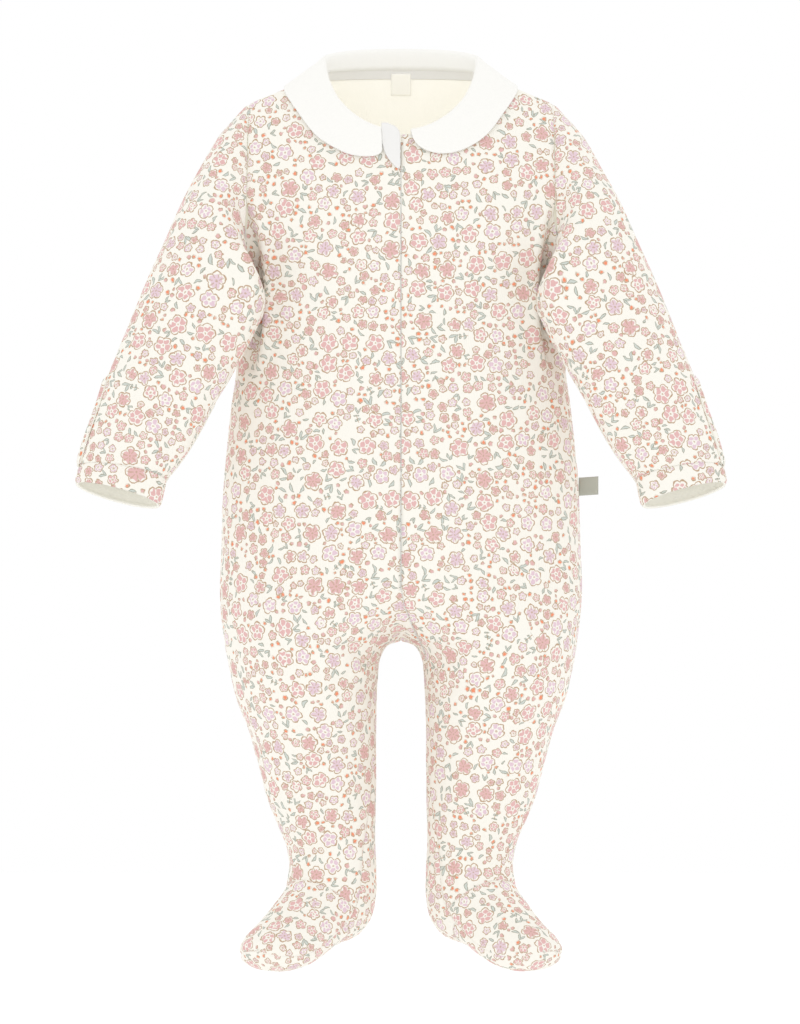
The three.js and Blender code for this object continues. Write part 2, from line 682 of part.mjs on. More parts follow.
function addPiece(name, geometry, colour) {
  geometry.computeVertexNormals();
  const material = new THREE.MeshStandardMaterial({ color: COLOURS[colour], roughness: 0.9 });
  const mesh = new THREE.Mesh(geometry, material);
  mesh.name = name;
  group.add(mesh);
}

const wholeFront = manifoldOf(wallOn(shell.front, { normals: shared }));
const halves = wholeFront.subtract(slitBlade()).decompose();
halves.sort((a, b) => b.boundingBox().max[0] - a.boundingBox().max[0]);
addPiece("front_left", geometryOf(halves[0]), "print");
addPiece("front_right", geometryOf(halves[halves.length - 1]), "print");
for (const [name, grids] of Object.entries(shell)) {
  if (name === "front") continue;
  const wall = name.startsWith("cuff") ? CUFF_WALL : WALL;
  const drawIn = name.startsWith("sleeve") ? SLEEVE_GAP - SEAM_GAP / 2 : SEAM_GAP / 2;
  addPiece(name, wallOn(grids, { wall, drawIn, normals: shared }), "print");
}

const mittenGrid = grid(SLEEVE_ROWS.length - MITTEN_FIRST_ROW - 1, MITTEN_COLS, (i, j) => {
  const turn = MITTEN_FRONT_TURN - ((MITTEN_FRONT_TURN + MITTEN_BACK_TURN) * j) / MITTEN_COLS;
  return sleeveRing(SLEEVE_ROWS[MITTEN_FIRST_ROW + i], turn);
});
const mitten = { lift: WALL + MITTEN_LIFT, drawIn: SLEEVE_GAP };
addPiece("mitten_left", wallOn([mittenGrid], mitten), "print");
addPiece("mitten_right", wallOn([mirrored(mittenGrid)], mitten), "print");

addPiece("collar", wallOn([reversed(collarGrid())], { wall: COLLAR_WALL, drawIn: 0 }), "plain");

const guardGrid = frontStrip(GUARD_ROWS.length - 1, GUARD_COLS, (i, j) => {
  const row = GUARD_ROWS[i];
  return { x: row.left + ((row.right - row.left) * j) / GUARD_COLS, z: row.z };
});
addPiece("zip_guard", wallOn([guardGrid], { wall: WALL, lift: WALL + LAY, drawIn: 0 }), "grey");

const tapeGrid = frontStrip(TAPE_LEVELS.length - 1, 2, (i, j) => {
  return { x: TAPE_HALF * (j - 1), z: TAPE_LEVELS[i] };
});
const behind = { wall: TRIM_WALL, lift: -WALL - 2 * LAY, drawIn: 0 };
addPiece("zip_tape", wallOn([tapeGrid], behind), "tape");

const neckTapeGrid = grid(2, NECK_TAPE_COLS, (i, j) => {
  const share = 1 - (2 * j) / NECK_TAPE_COLS;
  const place = 1 - (Math.abs(share) * (1 - NECK_TAPE_END)) / 2;
  const p = underCollar(place, NECK_TAPE_TOP + (NECK_TAPE_DEPTH * i) / 2).p;
  return vec(p.x * Math.sign(share || 1), p.y, p.z);
});
addPiece("neck_tape", wallOn([neckTapeGrid], behind), "grey");

const labelGrid = grid(NECK_LABEL.rows, NECK_LABEL.cols, (i, j) => {
  const x = NECK_LABEL.half - (2 * NECK_LABEL.half * j) / NECK_LABEL.cols;
  const centre = neckline(0, "back").z;
  const z = centre - NECK_LABEL.top - ((NECK_LABEL.bottom - NECK_LABEL.top) * i) / NECK_LABEL.rows;
  return vec(x, chestDepth(Math.abs(x), z, "back"), z);
});
const labelLift = -WALL - TRIM_WALL - 3 * LAY;
addPiece("neck_label", wallOn([labelGrid], { wall: TRIM_WALL, lift: labelLift, drawIn: 0 }), "plain");

const sideGrid = grid(2, 3, (i, j) => {
  const out = SIDE_LABEL.seamX + LAY + (SIDE_LABEL.length * j) / 3;
  const z = SIDE_LABEL.top - (SIDE_LABEL.height * i) / 2 + (SIDE_LABEL.rise * j) / 3;
  return vec(out, SIDE_LABEL.y - SIDE_LABEL.bend * j, z);
});
addPiece("side_label", wallOn([sideGrid], { wall: SIDE_LABEL.wall, drawIn: 0 }), "label");

export default group;
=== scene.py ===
import math

import bmesh
import bpy
import numpy as np
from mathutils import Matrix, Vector, kdtree, noise


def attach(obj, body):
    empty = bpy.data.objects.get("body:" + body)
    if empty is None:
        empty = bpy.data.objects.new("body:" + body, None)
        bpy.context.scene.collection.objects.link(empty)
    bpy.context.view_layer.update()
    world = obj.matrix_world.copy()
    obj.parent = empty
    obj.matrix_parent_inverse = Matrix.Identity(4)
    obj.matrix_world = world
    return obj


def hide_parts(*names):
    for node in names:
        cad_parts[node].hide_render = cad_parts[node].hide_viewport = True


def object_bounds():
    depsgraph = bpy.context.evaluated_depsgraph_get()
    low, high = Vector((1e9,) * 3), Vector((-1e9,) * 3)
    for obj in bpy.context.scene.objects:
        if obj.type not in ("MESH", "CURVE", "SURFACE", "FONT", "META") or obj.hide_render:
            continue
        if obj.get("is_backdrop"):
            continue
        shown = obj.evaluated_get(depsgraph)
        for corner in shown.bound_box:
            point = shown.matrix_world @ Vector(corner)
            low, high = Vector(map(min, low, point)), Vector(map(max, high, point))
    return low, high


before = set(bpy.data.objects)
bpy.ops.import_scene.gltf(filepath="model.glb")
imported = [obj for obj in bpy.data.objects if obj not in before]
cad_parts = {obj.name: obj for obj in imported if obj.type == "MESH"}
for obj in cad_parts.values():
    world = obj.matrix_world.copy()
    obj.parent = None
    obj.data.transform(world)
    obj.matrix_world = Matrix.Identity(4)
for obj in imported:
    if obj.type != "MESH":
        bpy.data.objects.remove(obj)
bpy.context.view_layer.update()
print("frame loaded")

# Footed baby sleepsuit of printed cotton jersey, filled out as on a small body. The tables below are in
# millimetres and hold the same forms as the solids; meshes are made in metres.
mm = 0.001

# Camera, level with the middle of the suit and far off, so that nothing widens towards it
view = {"distance": 8.0, "centre": (-0.0006, -0.257), "height": 0.6205, "sensor": 36.0}
cameraData = bpy.data.cameras.new("camera")
cameraData.sensor_width = view["sensor"]
cameraData.lens = view["sensor"] * view["distance"] / view["height"]
cameraData.clip_end = 100
camera = bpy.data.objects.new("camera", cameraData)
camera.location = (view["centre"][0], -view["distance"], view["centre"][1])
camera.rotation_euler = (math.radians(90), 0, 0)
bpy.context.scene.collection.objects.link(camera)
bpy.context.scene.camera = camera


# Forms

def rowsOf(columns, values):
    names = columns.split()
    return [dict(zip(names, row)) for row in values]


neck = {"half": 47, "sideZ": 9, "frontDrop": -38, "backRise": 2.5, "power": 1.2}
tipX, tipZ = 92, -9.5  # shoulder tip, where the sleeve is set in
underX, underZ = 97, -112  # underarm
armholeHollow = 2.6  # inwards from a straight armhole
ridge = {"front": {"fall": 75, "neckRise": 8}, "back": {"fall": 55, "neckRise": 34}}
spreadBy, spreadOver = 29, 52  # the chest widens by this over this height above the underarm
fullness = 0.9  # of the front and back, 1 is an ellipse
legRound = 4  # rounding where the legs part
trunkShare = 10 / 18  # share of the neckline's columns that run on down the trunk

chestRows = rowsOf("z front back", [
    (-112, 45, 43), (-85, 43.5, 43), (-60, 41, 42), (-29, 36, 38), (-8, 33, 34), (14, 31, 30),
])
bodyRows = rowsOf("z side gap front back turn", [
    (-112, 97, -97, 45, 43, 0), (-165, 99, -99, 47.5, 46.5, 0), (-200, 103.6, -103.6, 49.5, 49, 0),
    (-242, 107.3, -107.3, 52, 53, 0), (-283, 109, -98, 53.5, 57, 0), (-303, 109.6, -55, 54, 58.5, 0),
    (-317, 109, -22, 53.5, 58.5, 0), (-326.5, 108, -6, 53, 57.5, 0), (-332, 107.2, 1.5, 52.5, 56.5, 0),
    (-335, 106.8, 4, 52, 56, 0), (-338, 106.4, 9.4, 51.6, 55.4, 0), (-342.5, 105.6, 12.2, 51, 54.6, 0),
    (-349, 104.4, 14, 50, 53.4, 0), (-370, 99.6, 15.4, 46.5, 48.5, 0), (-387, 93, 15.8, 42.5, 43.5, 2),
    (-408, 87, 16, 38, 38, 8), (-428, 82, 16, 33.5, 33.5, 20), (-449, 73.8, 16, 28.5, 29, 34),
    (-461, 69.4, 16, 26, 27, 42), (-470, 68.2, 15.8, 25, 27, 45),
])
footRows = rowsOf("n f z lean half over under", [
    (0, 0.5, -480, 14, 26.8, 25.5, 29), (1, 2.5, -489, 28, 27, 26, 30.5),
    (2, 6, -497, 42, 26.8, 27, 26.5), (3, 13, -505, 54, 26.4, 27.5, 17),
    (4, 22, -512, 62, 26.4, 27, 12.5), (5, 32, -518, 66, 26.4, 24.5, 12),
    (6, 42, -522.5, 68, 25.4, 21.5, 11.5), (7, 51.5, -524.5, 70, 22.6, 18, 10.5),
    (8, 59.5, -524.5, 74, 18, 13, 9), (9, 65.5, -523, 80, 11.5, 7.2, 5.4), (10, 68.5, -521.5, 84, 5, 0, 0),
])
instepRow, heelRow, toeRow, footTurn = 2, 3, 10, 45
sleeveRows = rowsOf("n ox oy oz ix iy iz half lean", [
    (1, 101, -1, -18.5, 100.5, -2.5, -113.5, 27.5, 2), (2, 111, -3.5, -30.5, 99.5, -11, -116, 28, 4),
    (3, 121, -7, -48, 95.5, -22, -119.5, 28.3, 6), (4, 130.6, -11, -66.5, 91, -32, -125, 28.3, 8),
    (5, 140, -15.5, -88, 89, -37, -134.5, 27.8, 10), (6, 149.7, -20, -109.5, 91.5, -40, -146, 27, 12),
    (7, 159, -25, -131.5, 96, -42.5, -159, 26, 13.5), (8, 168.3, -30, -155, 102.8, -45, -174, 24.8, 15),
    (9, 177, -35, -177, 111.4, -47.5, -189, 23.2, 16), (10, 184, -39.5, -198, 119.6, -50, -205, 21, 16.5),
    (11, 190, -43.5, -215, 129.4, -52.5, -221.5, 18.8, 16.5),
    (12, 194, -46.5, -229.5, 141, -54.5, -237.5, 16.8, 16.5),
    (13, 195.4, -48, -235, 142.8, -56, -246, 16.2, 16.5),
    (14, 196.4, -49.5, -240.5, 144.6, -57.5, -253.5, 15.8, 16.5),
])
flapRow, cuffRow, mouthRow = 9, 12, 14
armClear = 2.4  # room between a sleeve and the trunk
collarRows = rowsOf("place fall stand", [
    (0.0, 19, 0.7), (0.035, 20, 0.8), (0.08, 21, 0.9), (0.15, 22.2, 1.1), (0.25, 25.5, 1.6), (0.38, 30, 3.2),
    (0.5, 27, 5.5), (0.58, 22, 7.2), (0.68, 17.5, 8.6), (0.85, 15.5, 10.6), (1.0, 15, 11.2),
])
slitLine = [(0, 40), (0, -304), (2.4, -315), (8.6, -330), (13.6, -340), (15.6, -348), (13.5, -355)]
guardRows = rowsOf("z left right", [
    (-22.5, -11.8, -8.5), (-25, -11.9, -3), (-29, -11.8, -0.5), (-34, -11.4, -0.4), (-39, -10.2, -0.4),
    (-43.5, -8, -0.4), (-47.5, -4.8, -0.4), (-50, -2.2, -0.9),
])


# Smooth value of each column of a table between its rows
def rowAt(rows, key, value):
    step = 1 if rows[1][key] > rows[0][key] else -1
    i = 0
    while i < len(rows) - 2 and step * (rows[i + 1][key] - value) < 0:
        i += 1
    a, b, c, d = rows[max(i - 1, 0)], rows[i], rows[i + 1], rows[min(i + 2, len(rows) - 1)]
    span = c[key] - b[key]
    t = min(max((value - b[key]) / span, 0), 1)
    out = {}
    for name in b:
        slope = (c[name] - b[name]) / span
        before = slope if b is a else (b[name] - a[name]) / (b[key] - a[key])
        after = slope if d is c else (d[name] - c[name]) / (d[key] - c[key])
        start = 2 * before * slope / (before + slope) if before * slope > 0 else 0
        end = 2 * after * slope / (after + slope) if after * slope > 0 else 0
        out[name] = (b[name] * (2 * t**3 - 3 * t**2 + 1) + start * span * (t**3 - 2 * t**2 + t)
                     + c[name] * (3 * t**2 - 2 * t**3) + end * span * (t**3 - t**2))
    return out


def facing(face):
    return -1 if face == "front" else 1


def shoulderLine(x, face):
    inside = min(x / neck["half"], 1)
    slope = (tipZ - neck["sideZ"]) / (tipX - neck["half"])
    return neck["sideZ"] + slope * max(x - neck["half"], 0) + ridge[face]["neckRise"] * (1 - inside**2)


# Distance of the chest from the shoulder plane at a place in front view
def chestDepth(x, z, face):
    level = max(z, underZ)
    rise = min((level - underZ) / spreadOver, 1)
    width = underX + spreadBy * math.sin(math.radians(90 * rise))
    across = max(1 - (x / width) ** 2, 0) ** (fullness / 2)
    below = max(shoulderLine(x, face) - z, 0)
    short = 1 - min(below / ridge[face]["fall"], 1)
    return rowAt(chestRows, "z", level)[face] * across * math.sqrt(1 - short * short)


def neckline(u, face):
    turn = math.radians(90 * (1 - u) ** 1.4)
    drop = max(math.sin(turn), 0) ** neck["power"]
    rise = neck["frontDrop"] if face == "front" else neck["backRise"]
    return neck["half"] * math.cos(turn), neck["sideZ"] + rise * drop


def armhole(turn):
    share = (1 - math.cos(math.radians(turn))) / 2
    x = tipX + (underX - tipX) * share - armholeHollow * math.sin(math.pi * share) * share
    return x, tipZ + (underZ - tipZ) * share


def yokeEdge(u):
    if u <= trunkShare:
        return underX * math.sin(math.radians(90 * u / trunkShare)), underZ
    return armhole(180 * (1 - u) / (1 - trunkShare))


# Point of the yoke on the wearer's left, u from the middle to the shoulder seam, v down from the neckline
def yokePoint(u, v, face):
    topX, topZ = neckline(u, face)
    edgeX, edgeZ = yokeEdge(u)
    x, z = topX + (edgeX - topX) * v, topZ + (edgeZ - topZ) * v
    return Vector((x, 0 if u > 1 - 1e-9 else facing(face) * chestDepth(x, z, face), z))


def sectionAt(level):
    row = rowAt(bodyRows, "z", level)
    mid, half = (row["side"] + row["gap"]) / 2, (row["side"] - row["gap"]) / 2
    rounding = min(max((row["side"] + row["gap"]) / legRound, 0), 1) * legRound
    end = math.pi if row["gap"] >= legRound else math.acos((rounding - mid) / half)
    power = fullness + (1 - fullness) * (2 * end / math.pi - 1)
    return row, mid, half, rounding, end, power


def bodyPoint(level, share, face):
    row, mid, half, rounding, end, power = sectionAt(level)
    turn = end * (1 - share)
    side = half * math.cos(turn)
    out = facing(face) * row[face] * max(math.sin(turn), 0) ** power
    x = math.sqrt(max((mid + side) ** 2 - rounding**2, 0))
    yaw = math.radians(row["turn"])
    across, deep = side * math.cos(yaw) - out * math.sin(yaw), side * math.sin(yaw) + out * math.cos(yaw)
    return Vector((x - side + across, deep, level))


def trunkDepth(x, z, face):
    row, mid, half, rounding, _, power = sectionAt(z)
    cos = min((math.hypot(x, rounding) - mid) / half, 1)
    return row[face] * (1 - cos * cos) ** (power / 2)


def footPoint(row, share, face):
    yaw, lean, turn = math.radians(footTurn), math.radians(row["lean"]), math.pi * (1 - share)
    side = row["half"] * math.cos(turn)
    rise = (row["over"] if face == "front" else -row["under"]) * max(math.sin(turn), 0)
    forward = row["f"] + rise * math.cos(lean)
    x = (bodyRows[-1]["side"] + bodyRows[-1]["gap"]) / 2 + side * math.cos(yaw) + forward * math.sin(yaw)
    return Vector((x, side * math.sin(yaw) - forward * math.cos(yaw), row["z"] + rise * math.sin(lean)))


# Row of the trunk, leg or foot: below -1 it is a height, from 0 a foot ring, and between them both
def lowerPoint(row, share, face):
    if row >= 0:
        return footPoint(rowAt(footRows, "n", row), share, face)
    if row > -1:
        return bodyPoint(bodyRows[-1]["z"], share, face).lerp(footPoint(footRows[0], share, face), row + 1)
    return bodyPoint(row, share, face)


def sleeveRing(row, turn):
    outer, inner = Vector((row["ox"], row["oy"], row["oz"])), Vector((row["ix"], row["iy"], row["iz"]))
    across = (outer - inner) / 2
    axis = across.normalized()
    deep = (Vector((0, 1, 0)) - axis * axis.y).normalized()
    lean = math.radians(-row["lean"])
    deep = deep * math.cos(lean) + axis.cross(deep) * math.sin(lean)
    angle = math.radians(turn)
    return (outer + inner) / 2 + across * math.cos(angle) - deep * math.sin(angle) * row["half"]


def clearOfTrunk(p, room):
    if p.z > underZ:
        return p
    row = rowAt(bodyRows, "z", p.z)
    deep = (row["front"] if p.y < 0 else row["back"]) + room
    reach = math.hypot(p.x / (row["side"] + room), p.y / deep)
    return Vector((p.x / reach, p.y / reach, p.z)) if reach < 1 else p


def armholePoint(turn):
    face = "front" if turn >= 0 else "back"
    x, z = armhole(abs(turn))
    flat = abs(turn) < 1e-9 or abs(turn) > 180 - 1e-9
    return Vector((x, 0 if flat else facing(face) * chestDepth(x, z, face), z))


# Point of a sleeve: row 0 is the armhole, turn 0 is outermost and positive turns run over the front
def sleevePoint(row, turn):
    if row >= 1:
        return clearOfTrunk(sleeveRing(rowAt(sleeveRows, "n", row), turn), armClear * min(row, 3) / 3)
    start = armholePoint(turn)
    if row <= 0:
        return start
    end, beyond = sleevePoint(1, turn), sleevePoint(2, turn)
    leave, arrive = end - start, (beyond - start) / 2
    return (start * (2 * row**3 - 3 * row**2 + 1) + leave * (row**3 - 2 * row**2 + row)
            + end * (3 * row**2 - 2 * row**3) + arrive * (row**3 - row**2))


ridgeNormal = Vector((0.35, 0, 0.94))  # of the body along the shoulder line


# Point of the body under the collar, its normal and the way down, place 0 at the front and 1 at the back
def underCollar(place, distance):
    face = "front" if place <= 0.5 else "back"
    u = place * 2 if place <= 0.5 else (1 - place) * 2
    near, shift, ridgeSoft = 0.02, 0.01, 0.16
    reach = (yokePoint(u, near, face) - yokePoint(u, 0, face)).length / near
    v = max(distance / reach, 0)
    p = yokePoint(u, v, face)
    down = (yokePoint(u, v + near, face) - p).normalized()
    if u > 1 - shift:
        return p, ridgeNormal, down
    normal = down.cross((yokePoint(u + shift, v, face) - p).normalized()).normalized()
    normal = (normal * (1 if face == "front" else -1)).lerp(ridgeNormal, max(1 - (1 - u) / ridgeSoft, 0))
    return p, normal.normalized(), down


# Making of the meshes

# Places from 0 to 1 along a length, closer together at the ends that carry a seam
def spread(length, fine=0.8, coarse=2.3, ends=(True, True)):
    places = [0.0]
    while places[-1] < length:
        near = min(places[-1] if ends[0] else length, length - places[-1] if ends[1] else length)
        places.append(places[-1] + min(coarse, fine + 0.3 * near))
    return [p / places[-1] for p in places]


# Lays a grid on a surface. point gives the place of a row and column, and flat its rough place in the cut
def layGrid(bm, rows, cols, point, flat):
    made = bmesh.ops.create_grid(bm, x_segments=len(cols) - 1, y_segments=len(rows) - 1, size=0.5)["verts"]
    guide = bm.verts.layers.float_vector["guide"]
    for v in made:
        i, j = round((v.co.y + 0.5) * (len(rows) - 1)), round((v.co.x + 0.5) * (len(cols) - 1))
        v.co = point(rows[i], cols[j])
        v[guide] = flat(rows[i], cols[j], v.co)
    return made


weld = 0.02  # reach within which meeting edges are joined


def newMesh():
    bm = bmesh.new()
    bm.verts.layers.float_vector.new("guide")
    return bm


def faceOutwards(bm, joined=True):
    if joined:
        bmesh.ops.remove_doubles(bm, verts=bm.verts, dist=weld)
    bmesh.ops.recalc_face_normals(bm, faces=bm.faces)
    middle = sum((v.co for v in bm.verts), Vector()) / len(bm.verts)
    if sum((f.calc_center_median() - middle).dot(f.normal) * f.calc_area() for f in bm.faces) < 0:
        bmesh.ops.reverse_faces(bm, faces=bm.faces)


# Joins a strip's meeting edges and faces it one way
def faceTowards(bm, direction):
    bmesh.ops.remove_doubles(bm, verts=bm.verts, dist=weld)
    bmesh.ops.recalc_face_normals(bm, faces=bm.faces)
    if sum(f.normal.dot(Vector(direction)) * f.calc_area() for f in bm.faces) < 0:
        bmesh.ops.reverse_faces(bm, faces=bm.faces)


# Nearest place on the shell's edges and its distance, for every vertex
def edgeDistances(bm):
    perEdge = 4
    borders = [e for e in bm.edges if e.is_boundary]
    tree = kdtree.KDTree(len(borders) * perEdge)
    for n, e in enumerate(borders):
        for k in range(perEdge):
            tree.insert(e.verts[0].co.lerp(e.verts[1].co, (k + 0.5) / perEdge), n * perEdge + k)
    tree.balance()
    return [tree.find(v.co)[::2] for v in bm.verts]


seams = {
    "depth": 0.75, "width": 1.3, "swell": 0.25, "swellPlace": 4, "swellWidth": 2, "pucker": 0.3,
    "puckerEvery": 6.5, "puckerFrom": 2, "puckerReach": 7.0,
}
unevenness = {"height": 0.55, "across": 48, "fine": 0.22, "fineAcross": 17, "from": 6}
foldShape = {"ends": 0.6, "bank": 0.45, "bankPlace": 1.7, "turn": 2.5, "rest": 0.25}


# Soft fold along a line in front view: negative heights are troughs
def foldHeights(points, fold):
    line = np.array(fold["line"], float)
    best = np.full(len(points), 1e9)
    along = np.zeros(len(points))
    for k in range(len(line) - 1):
        a, b = line[k], line[k + 1]
        share = np.clip(((points - a) @ (b - a)) / max((b - a) @ (b - a), 1e-9), 0, 1)
        gap = np.linalg.norm(points - (a + share[:, None] * (b - a)), axis=1)
        along = np.where(gap < best, (k + share) / (len(line) - 1), along)
        best = np.minimum(best, gap)
    fade = np.sin(np.pi * np.clip(along, 0, 1)) ** foldShape["ends"]
    across = best / fold["width"]
    bank = foldShape["bank"] * np.exp(-((across - foldShape["bankPlace"]) ** 2))
    return fold["height"] * fade * (np.exp(-across**2) - bank)


# Presses the seams in, puckers the cloth beside them and adds the folds
def shapeCloth(bm, folds=(), seam=1.0, lift=0.0, seed=0.0):
    bm.normal_update()
    near = edgeDistances(bm)
    places = np.array([v.co for v in bm.verts])
    normals = np.array([v.normal for v in bm.verts])
    heights = np.full(len(places), lift)
    for fold in folds:
        side = np.clip(facing(fold["face"]) * normals[:, 1] * foldShape["turn"] + foldShape["rest"], 0, 1)
        heights += foldHeights(places[:, [0, 2]], fold) * side
    for n, (v, (spot, gap)) in enumerate(zip(bm.verts, near)):
        shift = Vector((seed, 0, 0))
        pucker = noise.noise(spot / seams["puckerEvery"] + shift) * math.exp(-gap / seams["puckerReach"])
        heights[n] += seam * (
            -seams["depth"] * math.exp(-((gap / seams["width"]) ** 2))
            + seams["swell"] * math.exp(-(((gap - seams["swellPlace"]) / seams["swellWidth"]) ** 2))
            + seams["pucker"] * pucker * min(gap / seams["puckerFrom"], 1))
        calm = min(gap / unevenness["from"], 1)
        heights[n] += calm * unevenness["height"] * noise.noise(v.co / unevenness["across"] + shift)
        heights[n] += calm * unevenness["fine"] * noise.noise(v.co / unevenness["fineAcross"] + shift)
    for v, height, normal in zip(bm.verts, heights, normals):
        v.co += Vector(normal) * float(height)


# Makes the mesh an object in metres, with its parts laid flat as cut cloth for the print. node is the solid
# that it stands for
def finishPiece(name, bm, materials, thickness, node, flatten="CONFORMAL"):
    mesh = bpy.data.meshes.new(name)
    bmesh.ops.scale(bm, vec=(mm, mm, mm), verts=bm.verts)
    bm.to_mesh(mesh)
    bm.free()
    piece = bpy.data.objects.new(name, mesh)
    bpy.context.scene.collection.objects.link(piece)
    for face in mesh.polygons:
        face.use_smooth = True
    for material in materials:
        mesh.materials.append(material)
    mesh.uv_layers.new(name="cut")
    if flatten:
        layFlat(piece, flatten)
    if thickness:
        wall = piece.modifiers.new("wall", "SOLIDIFY")
        wall.thickness = thickness * mm
        wall.material_offset = 1
        wall.material_offset_rim = 1
    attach(piece, "root")
    if node:
        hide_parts(node)


# Flattens a shell and turns it so that its grain runs as its guide says, at real size
def layFlat(piece, method):
    for other in bpy.context.selected_objects:
        other.select_set(False)
    bpy.context.view_layer.objects.active = piece
    piece.select_set(True)
    bpy.ops.object.mode_set(mode="EDIT")
    bpy.ops.mesh.select_all(action="SELECT")
    bpy.ops.uv.unwrap(method=method, margin=0.0, iterations=6)
    bpy.ops.object.mode_set(mode="OBJECT")
    mesh = piece.data
    uv = np.zeros(len(mesh.loops) * 2)
    mesh.uv_layers[0].data.foreach_get("uv", uv)
    uv = uv.reshape(-1, 2)
    corner = np.zeros(len(mesh.loops), int)
    mesh.loops.foreach_get("vertex_index", corner)
    guide = np.zeros(len(mesh.vertices) * 3)
    mesh.attributes["guide"].data.foreach_get("vector", guide)
    target = guide.reshape(-1, 3)[corner, :2] * mm
    flatArea = solidArea = 0.0
    for face in mesh.polygons:
        ring = uv[list(face.loop_indices)]
        shifted = np.roll(ring, -1, axis=0)
        flatArea += abs((ring[:, 0] * shifted[:, 1] - ring[:, 1] * shifted[:, 0]).sum()) / 2
        solidArea += face.area
    scale = math.sqrt(solidArea / max(flatArea, 1e-12))
    a, b = uv - uv.mean(0), target - target.mean(0)
    left, _, right = np.linalg.svd(a.T @ b)
    placed = (a @ left @ right) * scale + target.mean(0)
    mesh.uv_layers[0].data.foreach_set("uv", placed.ravel())
    size = placed.max(0) - placed.min(0)
    print(f"{piece.name}: laid flat {size[0] / mm:.0f} x {size[1] / mm:.0f} mm, {solidArea * 1e4:.1f} cm2")


# Materials

def linear(code):
    parts = [int(code[i:i + 2], 16) / 255 for i in (0, 2, 4)]
    return tuple(c / 12.92 if c <= 0.04045 else ((c + 0.055) / 1.055) ** 2.4 for c in parts) + (1.0,)


# Adds a node with its settings and its inputs, each a value or a socket, and gives the output asked for, or
# the node. A kind may name its operation too, as in "Math ADD"
def put(tree, kind, *inputs, named=None, out=0, **settings):
    kind, _, operation = kind.partition(" ")
    made = tree.nodes.new("ShaderNode" + kind)
    if operation:
        made.operation = operation
    for name, value in settings.items():
        setattr(made, name, value)
    for name, value in [*enumerate(inputs), *(named or {}).items()]:
        if isinstance(value, bpy.types.NodeSocket):
            tree.links.new(value, made.inputs[name])
        else:
            made.inputs[name].default_value = value
    return made if out is None or not made.outputs else made.outputs[out]


# Matt knitted or woven cloth with fine upright ribs. rib is their width in millimetres, and glow the strength
# of an emission in the cloth's own colour: painted light that brightens the cloth whatever the lamps do
def clothMaterial(name, colour, rib=0.9, strength=0.25, glow=0.0):
    material = bpy.data.materials.new(name)
    material.use_nodes = True
    tree = material.node_tree
    tree.nodes.clear()
    place = put(tree, "TexCoord", out="UV")
    ribs = put(tree, "TexWave", place, out="Fac", wave_type="BANDS", bands_direction="X", named={
        "Scale": 0.314 / (rib * mm), "Distortion": 0.4, "Detail": 1.0, "Detail Scale": 40.0})
    fuzz = put(tree, "TexNoise", place, named={"Scale": 900.0, "Detail": 2.0}, out="Fac")
    height = put(tree, "Math ADD", ribs, fuzz)
    bump = put(tree, "Bump", named={"Height": height, "Strength": strength, "Distance": 0.0003})
    base = printColour(tree, place) if colour is None else linear(colour)
    shader = put(tree, "BsdfPrincipled", named={
        "Base Color": base, "Roughness": 0.9, "Specular IOR Level": 0.2, "Sheen Weight": 0.06,
        "Sheen Roughness": 0.5, "Normal": bump, "Emission Color": base, "Emission Strength": glow})
    put(tree, "OutputMaterial", shader)
    return material


# Small flower print of its own design, drawn by rules: each layer scatters one kind of motif and leaves out
# those that would touch a larger one. Lengths in millimetres
motifs = {
    "large": {"every": 16.0, "random": 0.8, "small": 4.8, "big": 6.3, "over": []},
    "middle": {"every": 7.4, "random": 0.75, "small": 2.6, "big": 3.9, "over": ["large"]},
    "leaf": {"every": 6.1, "random": 0.6, "small": 1.8, "big": 3.6, "over": ["large", "middle"]},
    "bud": {"every": 4.0, "random": 0.55, "small": 1.4, "big": 2.3, "over": ["large", "middle", "leaf"]},
}
flowers = {
    "large": {"petals": 5, "pen": 0.34, "hold": 1.4, "heart": 1.5},
    "middle": {"petals": 5, "pen": 0.3, "hold": 0.75, "heart": 0.85},
}
motifGap = 0.1
closedShare, lilacShare, roseBudShare, singleLeafShare = 0.4, 0.45, 0.42, 0.6
sprigFrom, sprigEvery, sprigOut = 2.1, 2.8, 1.2
printShake = {"scale": 0.35, "by": 1.5}
ink = {
    "ground": "faf7ee", "line": "c2a68a", "rose": "e6bbb8", "lilac": "e7cdd8", "orange": "f59874",
    "leaf": "d0d6cf", "leafLine": "a6a493",
}


# Middle, radius (0 where it is left out) and random numbers of the motif nearest to a point
def nearestMotif(tree, name, point):
    kind = motifs[name]
    cells = {"Scale": 1 / kind["every"], "Randomness": kind["random"]}
    near = put(tree, "TexVoronoi", named={"Vector": point, **cells}, voronoi_dimensions="2D", out=None)
    middle = near.outputs["Position"]
    chance = put(tree, "SeparateColor", near.outputs["Color"], out=None).outputs
    room = put(tree, "TexVoronoi", named={"Vector": middle, **cells}, voronoi_dimensions="2D", feature="F2",
               out="Distance")
    room = put(tree, "Math MULTIPLY_ADD", room, kind["every"] / 2, -motifGap / 2)
    wish = put(tree, "MapRange", chance[0], 0.0, 1.0, kind["small"], kind["big"])
    radius = put(tree, "Math MINIMUM", wish, room)
    for other in kind["over"]:
        theirs, theirRadius, _ = nearestMotif(tree, other, middle)
        space = put(tree, "VectorMath DISTANCE", middle, theirs, out="Value")
        space = put(tree, "Math SUBTRACT", space, theirRadius)
        space = put(tree, "Math SUBTRACT", space, motifGap)
        radius = put(tree, "Math MINIMUM", radius, space)
    shown = put(tree, "Math GREATER_THAN", radius, kind["small"] * 0.8)
    return middle, put(tree, "Math MULTIPLY", radius, shown), chance


